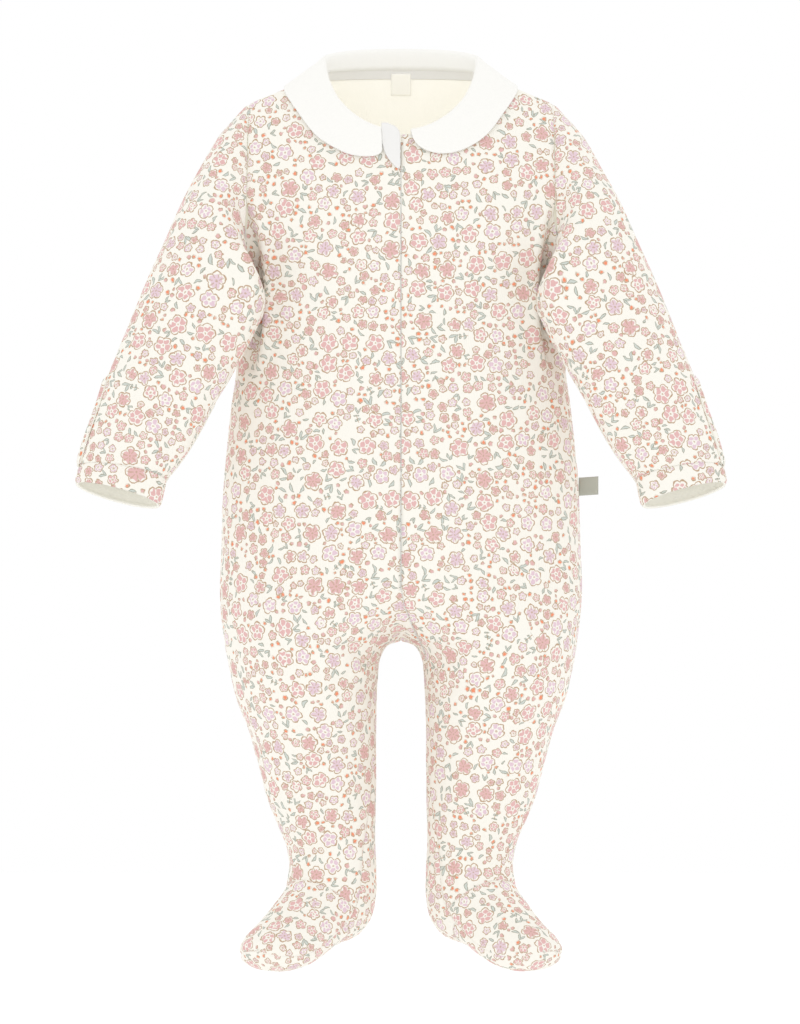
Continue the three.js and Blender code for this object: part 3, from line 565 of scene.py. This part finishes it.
# Turned place inside the nearest motif, its distance from the middle, angle, radius, random numbers, and
# whether there is one
def motifPlace(tree, name, point):
    middle, radius, chance = nearestMotif(tree, name, point)
    inside = put(tree, "VectorMath SUBTRACT", point, middle)
    angle = put(tree, "Math MULTIPLY", chance[2], 2 * math.pi)
    turned = put(tree, "VectorRotate", named={"Vector": inside, "Angle": angle}, rotation_type="Z_AXIS")
    at = put(tree, "SeparateXYZ", turned, out=None).outputs
    far = put(tree, "VectorMath LENGTH", inside, out="Value")
    around = put(tree, "Math ARCTAN2", at[1], at[0])
    return at[0], at[1], far, around, radius, chance, put(tree, "Math GREATER_THAN", radius, 0.1)


# Share of ink where a distance is above an edge, soft over the width of a pen's edge
def inked(tree, shown, distance, edge, soft=0.2):
    amount = put(tree, "MapRange", distance, edge - soft, edge + soft, 0.0, 1.0,
                 interpolation_type="SMOOTHSTEP")
    return put(tree, "Math MULTIPLY", amount, shown)


# A flower with petals, outlined, its filling held back from the line, from its heart and between petals.
# Gives its layers, the amount and the name of each ink
def flowerLayers(tree, name, point):
    petals, pen, hold, heart = flowers[name].values()
    _, _, far, around, radius, chance, shown = motifPlace(tree, name, point)
    wave = put(tree, "Math MULTIPLY", around, petals / 2)
    wave = put(tree, "Math ABSOLUTE", put(tree, "Math COSINE", wave))
    lobe = put(tree, "Math MULTIPLY_ADD", put(tree, "Math POWER", wave, 0.6), 0.3, 0.7)
    inward = put(tree, "Math SUBTRACT", put(tree, "Math MULTIPLY", radius, lobe), far)
    rough = put(tree, "TexNoise", point, named={"Scale": 0.45, "Detail": 0.0}, noise_dimensions="2D",
                out="Fac")
    rough = put(tree, "Math SUBTRACT", rough, 0.5)
    rough = put(tree, "Math MULTIPLY_ADD", rough, hold * 1.9, inward)
    aside = put(tree, "Math MULTIPLY", put(tree, "Math MULTIPLY", far, wave), 2 / petals)
    opened = put(tree, "Math GREATER_THAN", chance[1], closedShare)
    closed = put(tree, "Math SUBTRACT", 1.0, opened)
    # Open flowers have a white heart and parted petals, closed ones a full rounded filling
    parted = put(tree, "Math MULTIPLY", inked(tree, opened, far, heart), inked(tree, 1.0, aside, 0.26, 0.16))
    filling = put(tree, "Math ADD", parted, put(tree, "Math MULTIPLY", closed, 0.94))
    filling = put(tree, "Math MULTIPLY", filling, inked(tree, shown, rough, hold))
    rosy = put(tree, "Math GREATER_THAN", chance[0], lilacShare)
    offLine = put(tree, "Math ABSOLUTE", put(tree, "Math SUBTRACT", inward, pen * 0.6))
    offLine = put(tree, "Math MULTIPLY", offLine, -1.0)
    dashes = put(tree, "Math SINE", put(tree, "Math MULTIPLY", around, 7.0))
    dashes = put(tree, "Math SUBTRACT", dashes, put(tree, "Math DIVIDE", far, radius))
    tips = put(tree, "Math MULTIPLY", inked(tree, closed, dashes, 0.12, 0.15), inked(tree, shown, far, heart))
    tips = put(tree, "Math MULTIPLY", tips, 0.6)
    spot = inked(tree, shown, put(tree, "Math MULTIPLY", far, -1.0), -0.62, 0.25)
    return [
        (inked(tree, shown, inward, 0.0), "ground"),
        (filling, "lilac"),
        (put(tree, "Math MULTIPLY", filling, rosy), "rose"),
        (tips, "line"),
        (put(tree, "Math MULTIPLY", spot, 0.75), "line"),
        (inked(tree, shown, offLine, -pen, 0.16), "line"),
    ]


# Small buds: orange ones with a tan line round one side, rose ones with a line close round them
def budLayers(tree, point):
    x, _, far, around, radius, chance, shown = motifPlace(tree, "bud", point)
    lobe = put(tree, "Math COSINE", put(tree, "Math MULTIPLY", around, 5.0))
    lobe = put(tree, "Math MULTIPLY", radius, put(tree, "Math MULTIPLY_ADD", lobe, 0.06, 0.9))
    inward = put(tree, "Math SUBTRACT", lobe, far)
    warm = put(tree, "Math GREATER_THAN", chance[1], roseBudShare)
    held = put(tree, "Math MULTIPLY_ADD", warm, -0.28, inward)
    side = put(tree, "MapRange", x, -0.5, 0.9, 1.0, 0.25)
    ring = put(tree, "Math ABSOLUTE", put(tree, "Math SUBTRACT", inward, 0.22))
    ring = inked(tree, shown, put(tree, "Math MULTIPLY", ring, -1.0), -0.3, 0.15)
    filling = inked(tree, shown, held, 0.3)
    return [
        (filling, "rose"),
        (put(tree, "Math MULTIPLY", filling, warm), "orange"),
        (put(tree, "Math MULTIPLY", ring, side), "line"),
    ]


# Leaves: single and bent, in pairs, or small ones along a stem
def leafLayers(tree, point):
    x, y, _, _, radius, chance, shown = motifPlace(tree, "leaf", point)
    folded = put(tree, "Math ABSOLUTE", y)
    spine = put(tree, "Math MULTIPLY_ADD", x, 0.45, put(tree, "Math MULTIPLY", radius, 0.5))
    paired = put(tree, "Math SUBTRACT", folded, spine)
    bent = put(tree, "Math MULTIPLY", put(tree, "Math MULTIPLY", x, x), 0.1)
    single = put(tree, "Math SUBTRACT", y, bent)
    twin = put(tree, "Math GREATER_THAN", chance[1], singleLeafShare)
    across = put(tree, "Mix", named={0: twin, 2: single, 3: paired}, data_type="FLOAT")
    length = put(tree, "Math MULTIPLY_ADD", radius, 1.25, 0.01)
    share = put(tree, "Math DIVIDE", x, length)
    taper = put(tree, "Math SUBTRACT", 1.0, put(tree, "Math MULTIPLY", share, share))
    taper = put(tree, "Math MULTIPLY", taper, put(tree, "Math MULTIPLY_ADD", radius, 0.3, 0.3))
    leaf = put(tree, "Math SUBTRACT", taper, put(tree, "Math ABSOLUTE", across))
    # Sprig: leaflets at a slant on both sides of the stem
    along = put(tree, "Math FLOORED_MODULO", x, sprigEvery)
    along = put(tree, "Math SUBTRACT", along, sprigEvery / 2)
    slant = put(tree, "Math MULTIPLY_ADD", along, 0.64, put(tree, "Math MULTIPLY", folded, 0.77))
    over = put(tree, "Math MULTIPLY_ADD", along, -0.77, put(tree, "Math MULTIPLY", folded, 0.64))
    slant = put(tree, "Math SUBTRACT", slant, sprigOut)
    leaflet = put(tree, "Math MULTIPLY_ADD", put(tree, "Math MULTIPLY", slant, slant), -0.6, 0.85)
    leaflet = put(tree, "Math SUBTRACT", leaflet, put(tree, "Math ABSOLUTE", over))
    within = put(tree, "Math SUBTRACT", radius, put(tree, "Math ABSOLUTE", x))
    leaflet = put(tree, "Math MINIMUM", leaflet, within)
    stem = put(tree, "Math MINIMUM", put(tree, "Math SUBTRACT", 0.2, folded), within)
    sprig = put(tree, "Math GREATER_THAN", put(tree, "Math MULTIPLY", chance[1], radius), sprigFrom)
    green = put(tree, "Mix", named={0: sprig, 2: leaf, 3: leaflet}, data_type="FLOAT")
    return [
        (inked(tree, put(tree, "Math MULTIPLY", shown, sprig), stem, 0.0, 0.12), "line"),
        (inked(tree, shown, green, 0.0, 0.15), "leafLine"),
        (inked(tree, shown, green, 0.4, 0.15), "leaf"),
    ]


# Colour of the print at a place of the cut, whose lines are shaken a little as drawn by hand
def printColour(tree, place):
    point = put(tree, "VectorMath SCALE", place, named={"Scale": 1 / mm})
    shake = put(tree, "TexNoise", point, named={"Scale": printShake["scale"], "Detail": 1.0},
                noise_dimensions="2D", out="Color")
    shake = put(tree, "VectorMath SUBTRACT", shake, (0.5, 0.5, 0.5))
    shake = put(tree, "VectorMath SCALE", shake, named={"Scale": printShake["by"]})
    point = put(tree, "VectorMath ADD", point, shake)
    layers = [*leafLayers(tree, point), *budLayers(tree, point)]
    layers += flowerLayers(tree, "middle", point)
    layers += flowerLayers(tree, "large", point)
    colour = linear(ink["ground"])
    for amount, name in layers:
        colour = put(tree, "Mix", named={0: amount, 6: colour, 7: linear(ink[name])}, data_type="RGBA", out=2)
    return colour


# Cotton single jersey, rotary printed on a cream ground. Its wales are drawn at 1.3 mm, coarser than the real
# 0.8 mm, because those would be too fine to show
printed = clothMaterial("cotton jersey, printed", None, 1.3, 0.18)
# Shaded copy of the unprinted wrong side of the same jersey, for sleeves, cuffs, mittens and feet: its colour
# is a little darker as painted shade, and its weak emission is painted light
inner = clothMaterial("cotton jersey, plain inside", "efede4", glow=0.12)
# Lit copy of the same wrong side, for the inside of the trunk: a paler colour and a stronger emission, both
# painted light
innerPaintedLit = clothMaterial("cotton jersey, plain inside of the trunk", "fbf9f2", glow=0.18)
# Cotton interlock, bleached, of the turned-down collar; its weak emission is painted light that brightens its
# shaded stand
collarCloth = clothMaterial("cotton interlock, white", "f6f5f1", glow=0.045)
# Cotton twill tape of the guard and the neck; its weak emission is painted light
trim = clothMaterial("cotton tape, pale grey", "eeedeb", 0.6, glow=0.05)
# Woven polyester tape of the zip
zipCloth = clothMaterial("woven zip tape, grey", "dddeda", 0.6)
# Extruded nylon coil of the zip
zipCoil = clothMaterial("nylon coil, pale grey", "e3e4e0", 0.6, 0.0)
# Woven satin labels
# The neck label's emission is painted light that brightens it inside the shaded neck
neckLabelCloth = clothMaterial("woven label, white", "fbf9f2", 0.4, 0.1, 0.1)
labelCloth = clothMaterial("woven label, grey-green", "bbbdb2", 0.4, 0.1)
print("materials made")


# Trunk, legs and feet

body = {"wall": 1.2, "closureGap": 0.25, "closureReach": 2.5}
crotch = {"top": -325, "every": 1.25, "rows": 20}  # closer rows where the legs part
trunkCols = spread(150)
armCols = spread(115)
yokeCols = [c * trunkShare for c in trunkCols] + [trunkShare + (1 - trunkShare) * c for c in armCols[1:]]
yokeRows = spread(100, coarse=2.4)
levels = sorted(
    {round(underZ + s * (bodyRows[-1]["z"] - underZ), 2) for s in spread(358, ends=(False, False))}
    | {z for _, z in slitLine[1:-1]}
    | {crotch["top"] - k * crotch["every"] for k in range(crotch["rows"])}, reverse=True)


def lowerRowsTo(last):
    foot = [last * s for s in spread(8.5 * last, ends=(False, True))]
    return levels + [-0.75, -0.5, -0.25] + foot


# Half of the front or back on the wearer's left (side 1) or right (side -1)
def bodyHalf(bm, face, side, last):
    turn = Vector((side, 1, 1))
    layGrid(bm, yokeRows, yokeCols, lambda v, u: yokePoint(u, v, face) * turn,
            lambda v, u, p: (p.x, p.z, 0))
    layGrid(bm, lowerRowsTo(last), trunkCols, lambda row, share: lowerPoint(row, share, face) * turn,
            lambda row, share, p: (p.x, p.z, 0))


def slitX(z):
    return float(np.interp(-z, [-p[1] for p in slitLine], [p[0] for p in slitLine]))


# Cuts the wearer's left half of the front along the lower end of the closure
def cutAlongSlit(bm):
    for (x0, z0), (x1, z1) in zip(slitLine[1:-1], slitLine[2:]):
        band = [f for f in bm.faces if z1 < f.calc_center_median().z < z0 and f.calc_center_median().x > -0.5]
        geom = set(band) | {e for f in band for e in f.edges} | {v for f in band for v in f.verts}
        bmesh.ops.bisect_plane(bm, geom=list(geom), dist=1e-4, plane_co=(x0, 0, z0),
                               plane_no=(z0 - z1, 0, x1 - x0))


# Whether a face of the wearer's left half lies past the lower end of the closure and goes with the right
def onPatch(face):
    at = face.calc_center_median()
    return slitLine[-1][1] < at.z < slitLine[1][1] and at.x < slitX(at.z)


def frontPiece(side):
    bm = newMesh()
    bodyHalf(bm, "front", 1, instepRow)
    cutAlongSlit(bm)
    if side > 0:
        bmesh.ops.delete(bm, geom=[f for f in bm.faces if onPatch(f)], context="FACES")
    else:
        bmesh.ops.delete(bm, geom=[f for f in bm.faces if not onPatch(f)], context="FACES")
        bodyHalf(bm, "front", -1, instepRow)
    faceOutwards(bm)
    return bm


# Folds of one face, each by its height, width and line in front view: a negative height is a trough
def foldsOf(face, rows):
    return [{"face": face, "height": height, "width": width, "line": line} for height, width, line in rows]


bodyFolds = foldsOf("front", [
    (-7, 3.6, [(-95, -70), (-90, -94), (-86.5, -122), (-88, -147), (-92, -172)]),
    (-6.6, 3.6, [(95, -70), (90, -94), (87, -122), (88.5, -147), (92, -172)]),
    (-1.4, 4.5, [(-14, -352), (-30, -338), (-52, -328)]),
    (-1.3, 4.5, [(17, -354), (34, -340), (56, -331)]),
    (-0.9, 4, [(-12, -366), (-32, -358), (-50, -356)]),
    (-0.9, 4, [(15, -368), (34, -361), (53, -358)]),
    (-0.8, 4, [(-78, -452), (-62, -462), (-44, -460)]),
    (-0.7, 4, [(80, -449), (60, -458), (40, -457)]),
]) + foldsOf("back", [
    (-1.6, 6, [(-84, -330), (-58, -345), (-24, -349)]),
    (-1.5, 6, [(86, -334), (60, -347), (26, -350)]),
    (-1.1, 5, [(-80, -395), (-56, -401), (-30, -396)]),
    (-1.0, 5, [(78, -391), (58, -398), (34, -394)]),
    (-0.8, 8, [(-30, -96), (-10, -140), (-16, -190)]),
    (-0.7, 8, [(34, -110), (22, -160), (30, -215)]),
])


def makeFront(name, side, node):
    bm = frontPiece(side)
    shapeCloth(bm, bodyFolds, seed=3.1 * side)
    reach = body["closureReach"]
    for v in bm.verts:
        if abs(v.co.x) < reach and v.co.z > slitLine[1][1]:
            v.co.x += side * body["closureGap"] * (1 - abs(v.co.x) / reach)
    finishPiece(name, bm, [printed, innerPaintedLit], body["wall"], node, "MINIMUM_STRETCH")


makeFront("frontLeft", 1, "front_left")
makeFront("frontRight", -1, "front_right")
print("fronts made")

bm = newMesh()
bodyHalf(bm, "back", 1, heelRow)
bodyHalf(bm, "back", -1, heelRow)
faceOutwards(bm)
shapeCloth(bm, bodyFolds, seed=7.7)
finishPiece("backPiece", bm, [printed, innerPaintedLit], body["wall"], "back", "MINIMUM_STRETCH")
print("back made")


def makeFootPart(name, face, first, side, node):
    bm = newMesh()
    rows = [first + (toeRow - first) * s for s in spread(75)]
    turn = Vector((side, 1, 1))
    layGrid(bm, rows, trunkCols, lambda n, share: lowerPoint(n, share, face) * turn,
            lambda n, share, p: ((share - 0.5) * 50 * side, -n * 8.5, 0))
    faceOutwards(bm)
    shapeCloth(bm, seed=side * 5.3)
    finishPiece(name, bm, [printed, inner], body["wall"], node)


makeFootPart("footUpperLeft", "front", instepRow, 1, "foot_upper_left")
makeFootPart("footUpperRight", "front", instepRow, -1, "foot_upper_right")
makeFootPart("soleLeft", "back", heelRow, 1, "sole_left")
makeFootPart("soleRight", "back", heelRow, -1, "sole_right")
print("feet made")


# Sleeves, cuffs and mitten flaps

sleeve = {"wall": 1.2, "cuffWall": 1.7, "flapLift": 1.9, "flapWall": 1.1}
sleeveTurns = [180 - 360 * s for s in spread(170)]
flapTurns = [24 - 182 * s for s in spread(95)]
sleeveFolds = {
    "Right": foldsOf("front", [
        (1.6, 5, [(-97, -78), (-93, -100), (-91, -125), (-93, -150)]),
        (-1.6, 4.5, [(-138, -186), (-138, -210), (-141, -234)]),
        (-0.8, 4.5, [(-97, -146), (-113, -140), (-130, -143)]),
        (-0.6, 4, [(-104, -168), (-120, -160), (-138, -161)]),
    ]) + foldsOf("back", [
        (-1.1, 5, [(-104, -150), (-124, -143), (-146, -147)]),
        (-0.8, 5, [(-98, -122), (-116, -112), (-134, -108)]),
    ]),
    "Left": foldsOf("front", [
        (1.5, 5, [(97, -80), (93, -102), (91, -127), (93, -152)]),
        (-1.7, 4.5, [(133, -176), (138, -204), (140, -233)]),
        (-0.7, 4.5, [(98, -150), (114, -143), (131, -145)]),
        (-0.6, 4, [(105, -172), (122, -165), (137, -167)]),
    ]) + foldsOf("back", [
        (-1.0, 5, [(106, -156), (126, -148), (147, -151)]),
        (-0.8, 5, [(99, -126), (117, -118), (136, -116)]),
    ]),
}


# Lets the front of the sleeve hang over the trunk beside the lower armhole, as the filled sleeve does
overhang = {
    "middle": -115, "height": 34, "across": 9.5, "forward": 3.5, "frontFrom": 6, "frontOver": 14,
    "outest": 118, "fadeOver": 24,
}
flatSleeve = {"girth": 165, "row": 15}  # of a sleeve laid flat roughly, as the guide of its grain


def hangOver(bm, side):
    guide = bm.verts.layers.float_vector["guide"]
    for v in bm.verts:
        row = -v[guide].y / flatSleeve["row"]
        high = math.exp(-((v.co.z - overhang["middle"]) / overhang["height"]) ** 2)
        front = min(max((-v.co.y - overhang["frontFrom"]) / overhang["frontOver"], 0), 1)
        near = min(max((overhang["outest"] - abs(v.co.x)) / overhang["fadeOver"], 0), 1)
        share = high * front * front * (3 - 2 * front) * near * near * (3 - 2 * near) * min(row, 1)
        v.co.x -= side * overhang["across"] * share
        v.co.y -= overhang["forward"] * share


# Brings the two edges of the underarm seam together again
def closeTube(bm):
    guide = bm.verts.layers.float_vector["guide"]
    pairs = {}
    for v in bm.verts:
        if abs(abs(v[guide].x) - flatSleeve["girth"] / 2) < 0.01:
            pairs.setdefault(round(v[guide].y, 3), []).append(v)
    for pair in pairs.values():
        middle = (pair[0].co + pair[-1].co) / 2
        for v in pair:
            v.co = middle


def makeTube(name, rows, turns, side, node, folds, wall, lift=0.0):
    bm = newMesh()
    turn = Vector((side, 1, 1))
    layGrid(bm, rows, turns, lambda n, angle: sleevePoint(n, angle) * turn,
            lambda n, angle, p: (-side * angle / 360 * flatSleeve["girth"], -n * flatSleeve["row"], 0))
    if folds:
        hangOver(bm, side)
    faceOutwards(bm, False)
    shapeCloth(bm, folds, lift=lift, seed=side * 11.3 + lift)
    closeTube(bm)
    finishPiece(name, bm, [printed, inner], wall, node)


sleeveRowsDown = [cuffRow * s for s in spread(205, coarse=2.1)]
cuffRowsDown = [cuffRow + (mouthRow - cuffRow) * s for s in spread(15, fine=0.6)]
flapRowsDown = [flapRow + (cuffRow - flapRow) * s for s in spread(55)]
for word, side in (("Left", 1), ("Right", -1)):
    low = word.lower()
    makeTube("sleeve" + word, sleeveRowsDown, sleeveTurns, side, "sleeve_" + low, sleeveFolds[word],
             sleeve["wall"])
    makeTube("cuff" + word, cuffRowsDown, sleeveTurns, side, "cuff_" + low, [], sleeve["cuffWall"])
    makeTube("mitten" + word, flapRowsDown, flapTurns, side, "mitten_" + low, [], sleeve["flapWall"],
             sleeve["flapLift"])
print("sleeves made")


# Collar

collar = {
    "wall": 1.5, "lift": 2.75, "roll": 0.2, "crest": 1.5, "falls": 5, "upright": 6, "sink": 0.3,
    "sinkMore": 1.2, "clear": 0.3, "steps": 105, "deep": 38,
    "left": {"start": 0.03, "round": 0.14, "fall": 0.5, "lean": 0},
    "right": {"start": 0.0605, "round": 0.07, "fall": 12.5, "lean": 0.3},
}


def collarColumn(place, end):
    row = rowAt(collarRows, "place", place)
    short = 1 - min((place - end["start"]) / end["round"], 1)
    length = end["fall"] + (row["fall"] - end["fall"]) * math.sqrt(1 - short * short)
    p, normal, down = underCollar(place, 0)
    up = (-down).lerp(Vector((0, 0, 1)), min(row["stand"] / collar["upright"], 1)).normalized()
    bent = math.sqrt(1 - min(up.dot(down) ** 2, 1))
    foot = p - normal * collar["wall"] - down * (collar["sink"] + collar["sinkMore"] * bent)
    top = foot + up * row["stand"]
    falls = []
    for k in range(collar["falls"] + 1):
        share = k / collar["falls"]
        under, lean, _ = underCollar(place, length * share)
        roll = collar["roll"] * row["stand"] * 4 * share * (1 - share)
        drawn = Vector((-end["lean"] * length * share * short, 0, 0))
        high = row["stand"] * (1 - share) + collar["clear"]
        falls.append(under + lean * (collar["lift"] + roll) + up * high + drawn)
    return [foot, top, top.lerp(falls[0], 0.5) + up * collar["crest"], *falls]


smoothing = {
    "rounds": 60, "from": 0.25, "over": 0.16, "rows": [0, 3, 5], "shares": [1, 0.9, 0.35, 0.12],
    "rise": 0.8, "risePlace": 0.52, "riseOver": 0.09,
}


# Rounds the collar over the shoulder, where the body's form turns sharply, most at its neck edge
def smoothColumns(places, columns):
    grid = np.array([[list(p) for p in column] for column in columns])
    last, where = grid.shape[1] - 1, np.array(places)
    across = np.interp(np.arange(last + 1), [*smoothing["rows"], last], smoothing["shares"])
    along = np.clip((where - smoothing["from"]) / smoothing["over"], 0, 1)
    soft = along[:, None, None] * across[None, :, None]
    for _ in range(smoothing["rounds"]):
        wide = np.concatenate([grid[:1], grid, grid[-2:-1] * (-1, 1, 1)])
        grid += soft * 0.5 * ((wide[:-2] + wide[2:]) / 2 - grid)
    shoulder = np.exp(-(((where - smoothing["risePlace"]) / smoothing["riseOver"]) ** 2))
    grid[:, :, 2] += smoothing["rise"] * shoulder[:, None]
    grid[-1, :, 0] = 0
    return [[Vector(p) for p in column] for column in grid]


# Point on a smooth line through the points of a column
def alongColumn(column, share):
    place = share * (len(column) - 1)
    i = min(int(place), len(column) - 2)
    t = place - i
    a, b, c, d = column[max(i - 1, 0)], column[i], column[i + 1], column[min(i + 2, len(column) - 1)]
    return (b * 2 + (c - a) * t + (a * 2 - b * 5 + c * 4 - d) * t**2 + (b * 3 - a - c * 3 + d) * t**3) / 2


bm = newMesh()
backColumn = None
for side, end in ((1, collar["left"]), (-1, collar["right"])):
    steps = spread(collar["steps"], fine=0.4, coarse=1.6, ends=(True, False))
    places = [end["start"] + (1 - end["start"]) * s for s in steps]
    columns = dict(zip(places, smoothColumns(places, [collarColumn(p, end) for p in places])))
    backColumn = backColumn or columns[places[-1]]
    columns[places[-1]] = backColumn
    turn = Vector((side, 1, 1))
    layGrid(bm, spread(collar["deep"], fine=0.7, coarse=1.6, ends=(False, True)), list(columns),
            lambda s, place: alongColumn(columns[place], s) * turn,
            lambda s, place, p: (side * (1 - place) * collar["steps"], s * collar["deep"], 0))
faceTowards(bm, (0, 0, 1))
finishPiece("collarPiece", bm, [collarCloth, collarCloth], collar["wall"], "collar")
print("collar made")


# Closure: guard, tape and coil

def frontPoint(x, z):
    depth = chestDepth if z > underZ else trunkDepth
    return Vector((x, -depth(abs(x), z, "front"), z))


def makeStrip(name, rows, cols, point, normal, material, wall, lift, node):
    bm = newMesh()
    layGrid(bm, rows, cols, point, lambda r, c, p: (p.x, p.z, 0))
    faceTowards(bm, normal)
    bm.normal_update()
    for v in bm.verts:
        v.co += v.normal * lift
    finishPiece(name, bm, [material, material], wall, node)


def guardPoint(z, s):
    row = rowAt(guardRows, "z", z)
    return frontPoint(row["left"] + (row["right"] - row["left"]) * s, z)


forward, rearward = (0, -1, 0), (0, 1, 0)
guardTop, guardLength = guardRows[0]["z"], guardRows[0]["z"] - guardRows[-1]["z"]
makeStrip("zipGuard", [guardTop - guardLength * s for s in spread(27)], spread(11), guardPoint, forward,
          trim, 1.2, 1.7, "zip_guard")
tape = {"top": -33, "length": 270, "width": 10}
makeStrip("zipTape", [tape["top"] - tape["length"] * s for s in spread(tape["length"])], spread(tape["width"]),
          lambda z, s: frontPoint(tape["width"] * s - tape["width"] / 2, z), forward,
          zipCloth, 0.6, -2.2, "zip_tape")


# Row of small beads that stands for the closed coil, just inside the slit
coil = {"first": -50.0, "last": -347.0, "every": 1.3, "deep": 1.0, "radius": 0.62}
bm = newMesh()
z = coil["first"]
while z > coil["last"]:
    at = frontPoint(slitX(z), z) + Vector((0, coil["deep"], 0))
    beads = bmesh.ops.create_icosphere(bm, subdivisions=1, radius=coil["radius"])["verts"]
    bmesh.ops.translate(bm, vec=at, verts=beads)
    z -= coil["every"]
finishPiece("zipCoil", bm, [zipCoil], 0, None, None)

neckBand = {"end": 0.16, "top": 0.3, "deep": 4.9, "rise": 2.4}


# Point of the tape inside the back of the neck, share from one end (-1) to the other (1)
def neckTapePoint(deep, share):
    place = 1 - abs(share) * (1 - neckBand["end"]) / 2
    p, _, down = underCollar(place, neckBand["top"] + neckBand["deep"] * deep)
    p = p - down * neckBand["rise"] * (1 - deep) ** 2
    return Vector((p.x * (1 if share >= 0 else -1), p.y, p.z))


makeStrip("neckTape", spread(4.6, fine=0.5), [1 - 2 * s for s in spread(75)], neckTapePoint, rearward,
          trim, 0.6, -1.3, "neck_tape")

loop = {"width": 12, "length": 13.3, "top": 1.2}
loopTop = neckline(0, "back")[1] - loop["top"]
makeStrip("neckLabel", [loopTop - loop["length"] * s for s in spread(13)],
          [loop["width"] / 2 - loop["width"] * s for s in spread(loop["width"])],
          lambda z, x: Vector((x, chestDepth(abs(x), z, "back"), z)), rearward,
          neckLabelCloth, 0.5, -2.1, "neck_label")

# Corner of the side label at the seam, its way outwards and its drop
tab = {"corner": (107.7, -0.5, -236.2), "out": (11.8, -1.2, 0.8), "drop": (0, 0, -11)}
corner, outwards, drop = (Vector(part) for part in tab.values())
makeStrip("sideLabel", spread(11), spread(12), lambda r, s: corner + outwards * s + drop * r,
          forward, labelCloth, 0.9, 0.0, "side_label")
print("trims made")


# Floor, world and lights

floor = {"z": -0.64, "half": 6.0, "colour": "ffffff", "glow": 0.06}
bm = bmesh.new()
bmesh.ops.create_grid(bm, x_segments=2, y_segments=2, size=floor["half"])
bmesh.ops.translate(bm, vec=(0, 0, floor["z"]), verts=bm.verts)
mesh = bpy.data.meshes.new("floor")
bm.to_mesh(mesh)
bm.free()
floorPiece = bpy.data.objects.new("floor", mesh)
bpy.context.scene.collection.objects.link(floorPiece)
# Fibreboard painted matt white, plain under and behind the suit
floorMaterial = bpy.data.materials.new("painted board, matt white")
floorMaterial.use_nodes = True
tree = floorMaterial.node_tree
tree.nodes.clear()
shader = put(tree, "BsdfPrincipled", named={
    "Base Color": linear(floor["colour"]), "Roughness": 0.9, "Specular IOR Level": 0.1,
    "Emission Color": linear(floor["colour"]), "Emission Strength": floor["glow"]})
put(tree, "OutputMaterial", shader)
mesh.materials.append(floorMaterial)
floorPiece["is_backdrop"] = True

light = {"world": 1.0, "aim": (0, 0, -0.25)}
lamps = {
    "front": {"place": (-0.9, -2.2, 0.5), "size": 1.6, "watts": 0.9},
    "top": {"place": (0.5, -0.3, 1.9), "size": 1.8, "watts": 0.8},
}
world = bpy.data.worlds.new("studio")
world.use_nodes = True
world.node_tree.nodes["Background"].inputs[0].default_value = (1, 1, 1, 1)
world.node_tree.nodes["Background"].inputs[1].default_value = light["world"]
bpy.context.scene.world = world
for name, values in lamps.items():
    lamp = bpy.data.lights.new(name, "AREA")
    lamp.size = values["size"]
    lamp.energy = values["watts"]
    made = bpy.data.objects.new(name, lamp)
    made.location = values["place"]
    made.rotation_euler = (Vector(light["aim"]) - made.location).to_track_quat("-Z", "Y").to_euler()
    bpy.context.scene.collection.objects.link(made)
bpy.context.scene.view_settings.view_transform = "Standard"

low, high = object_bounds()
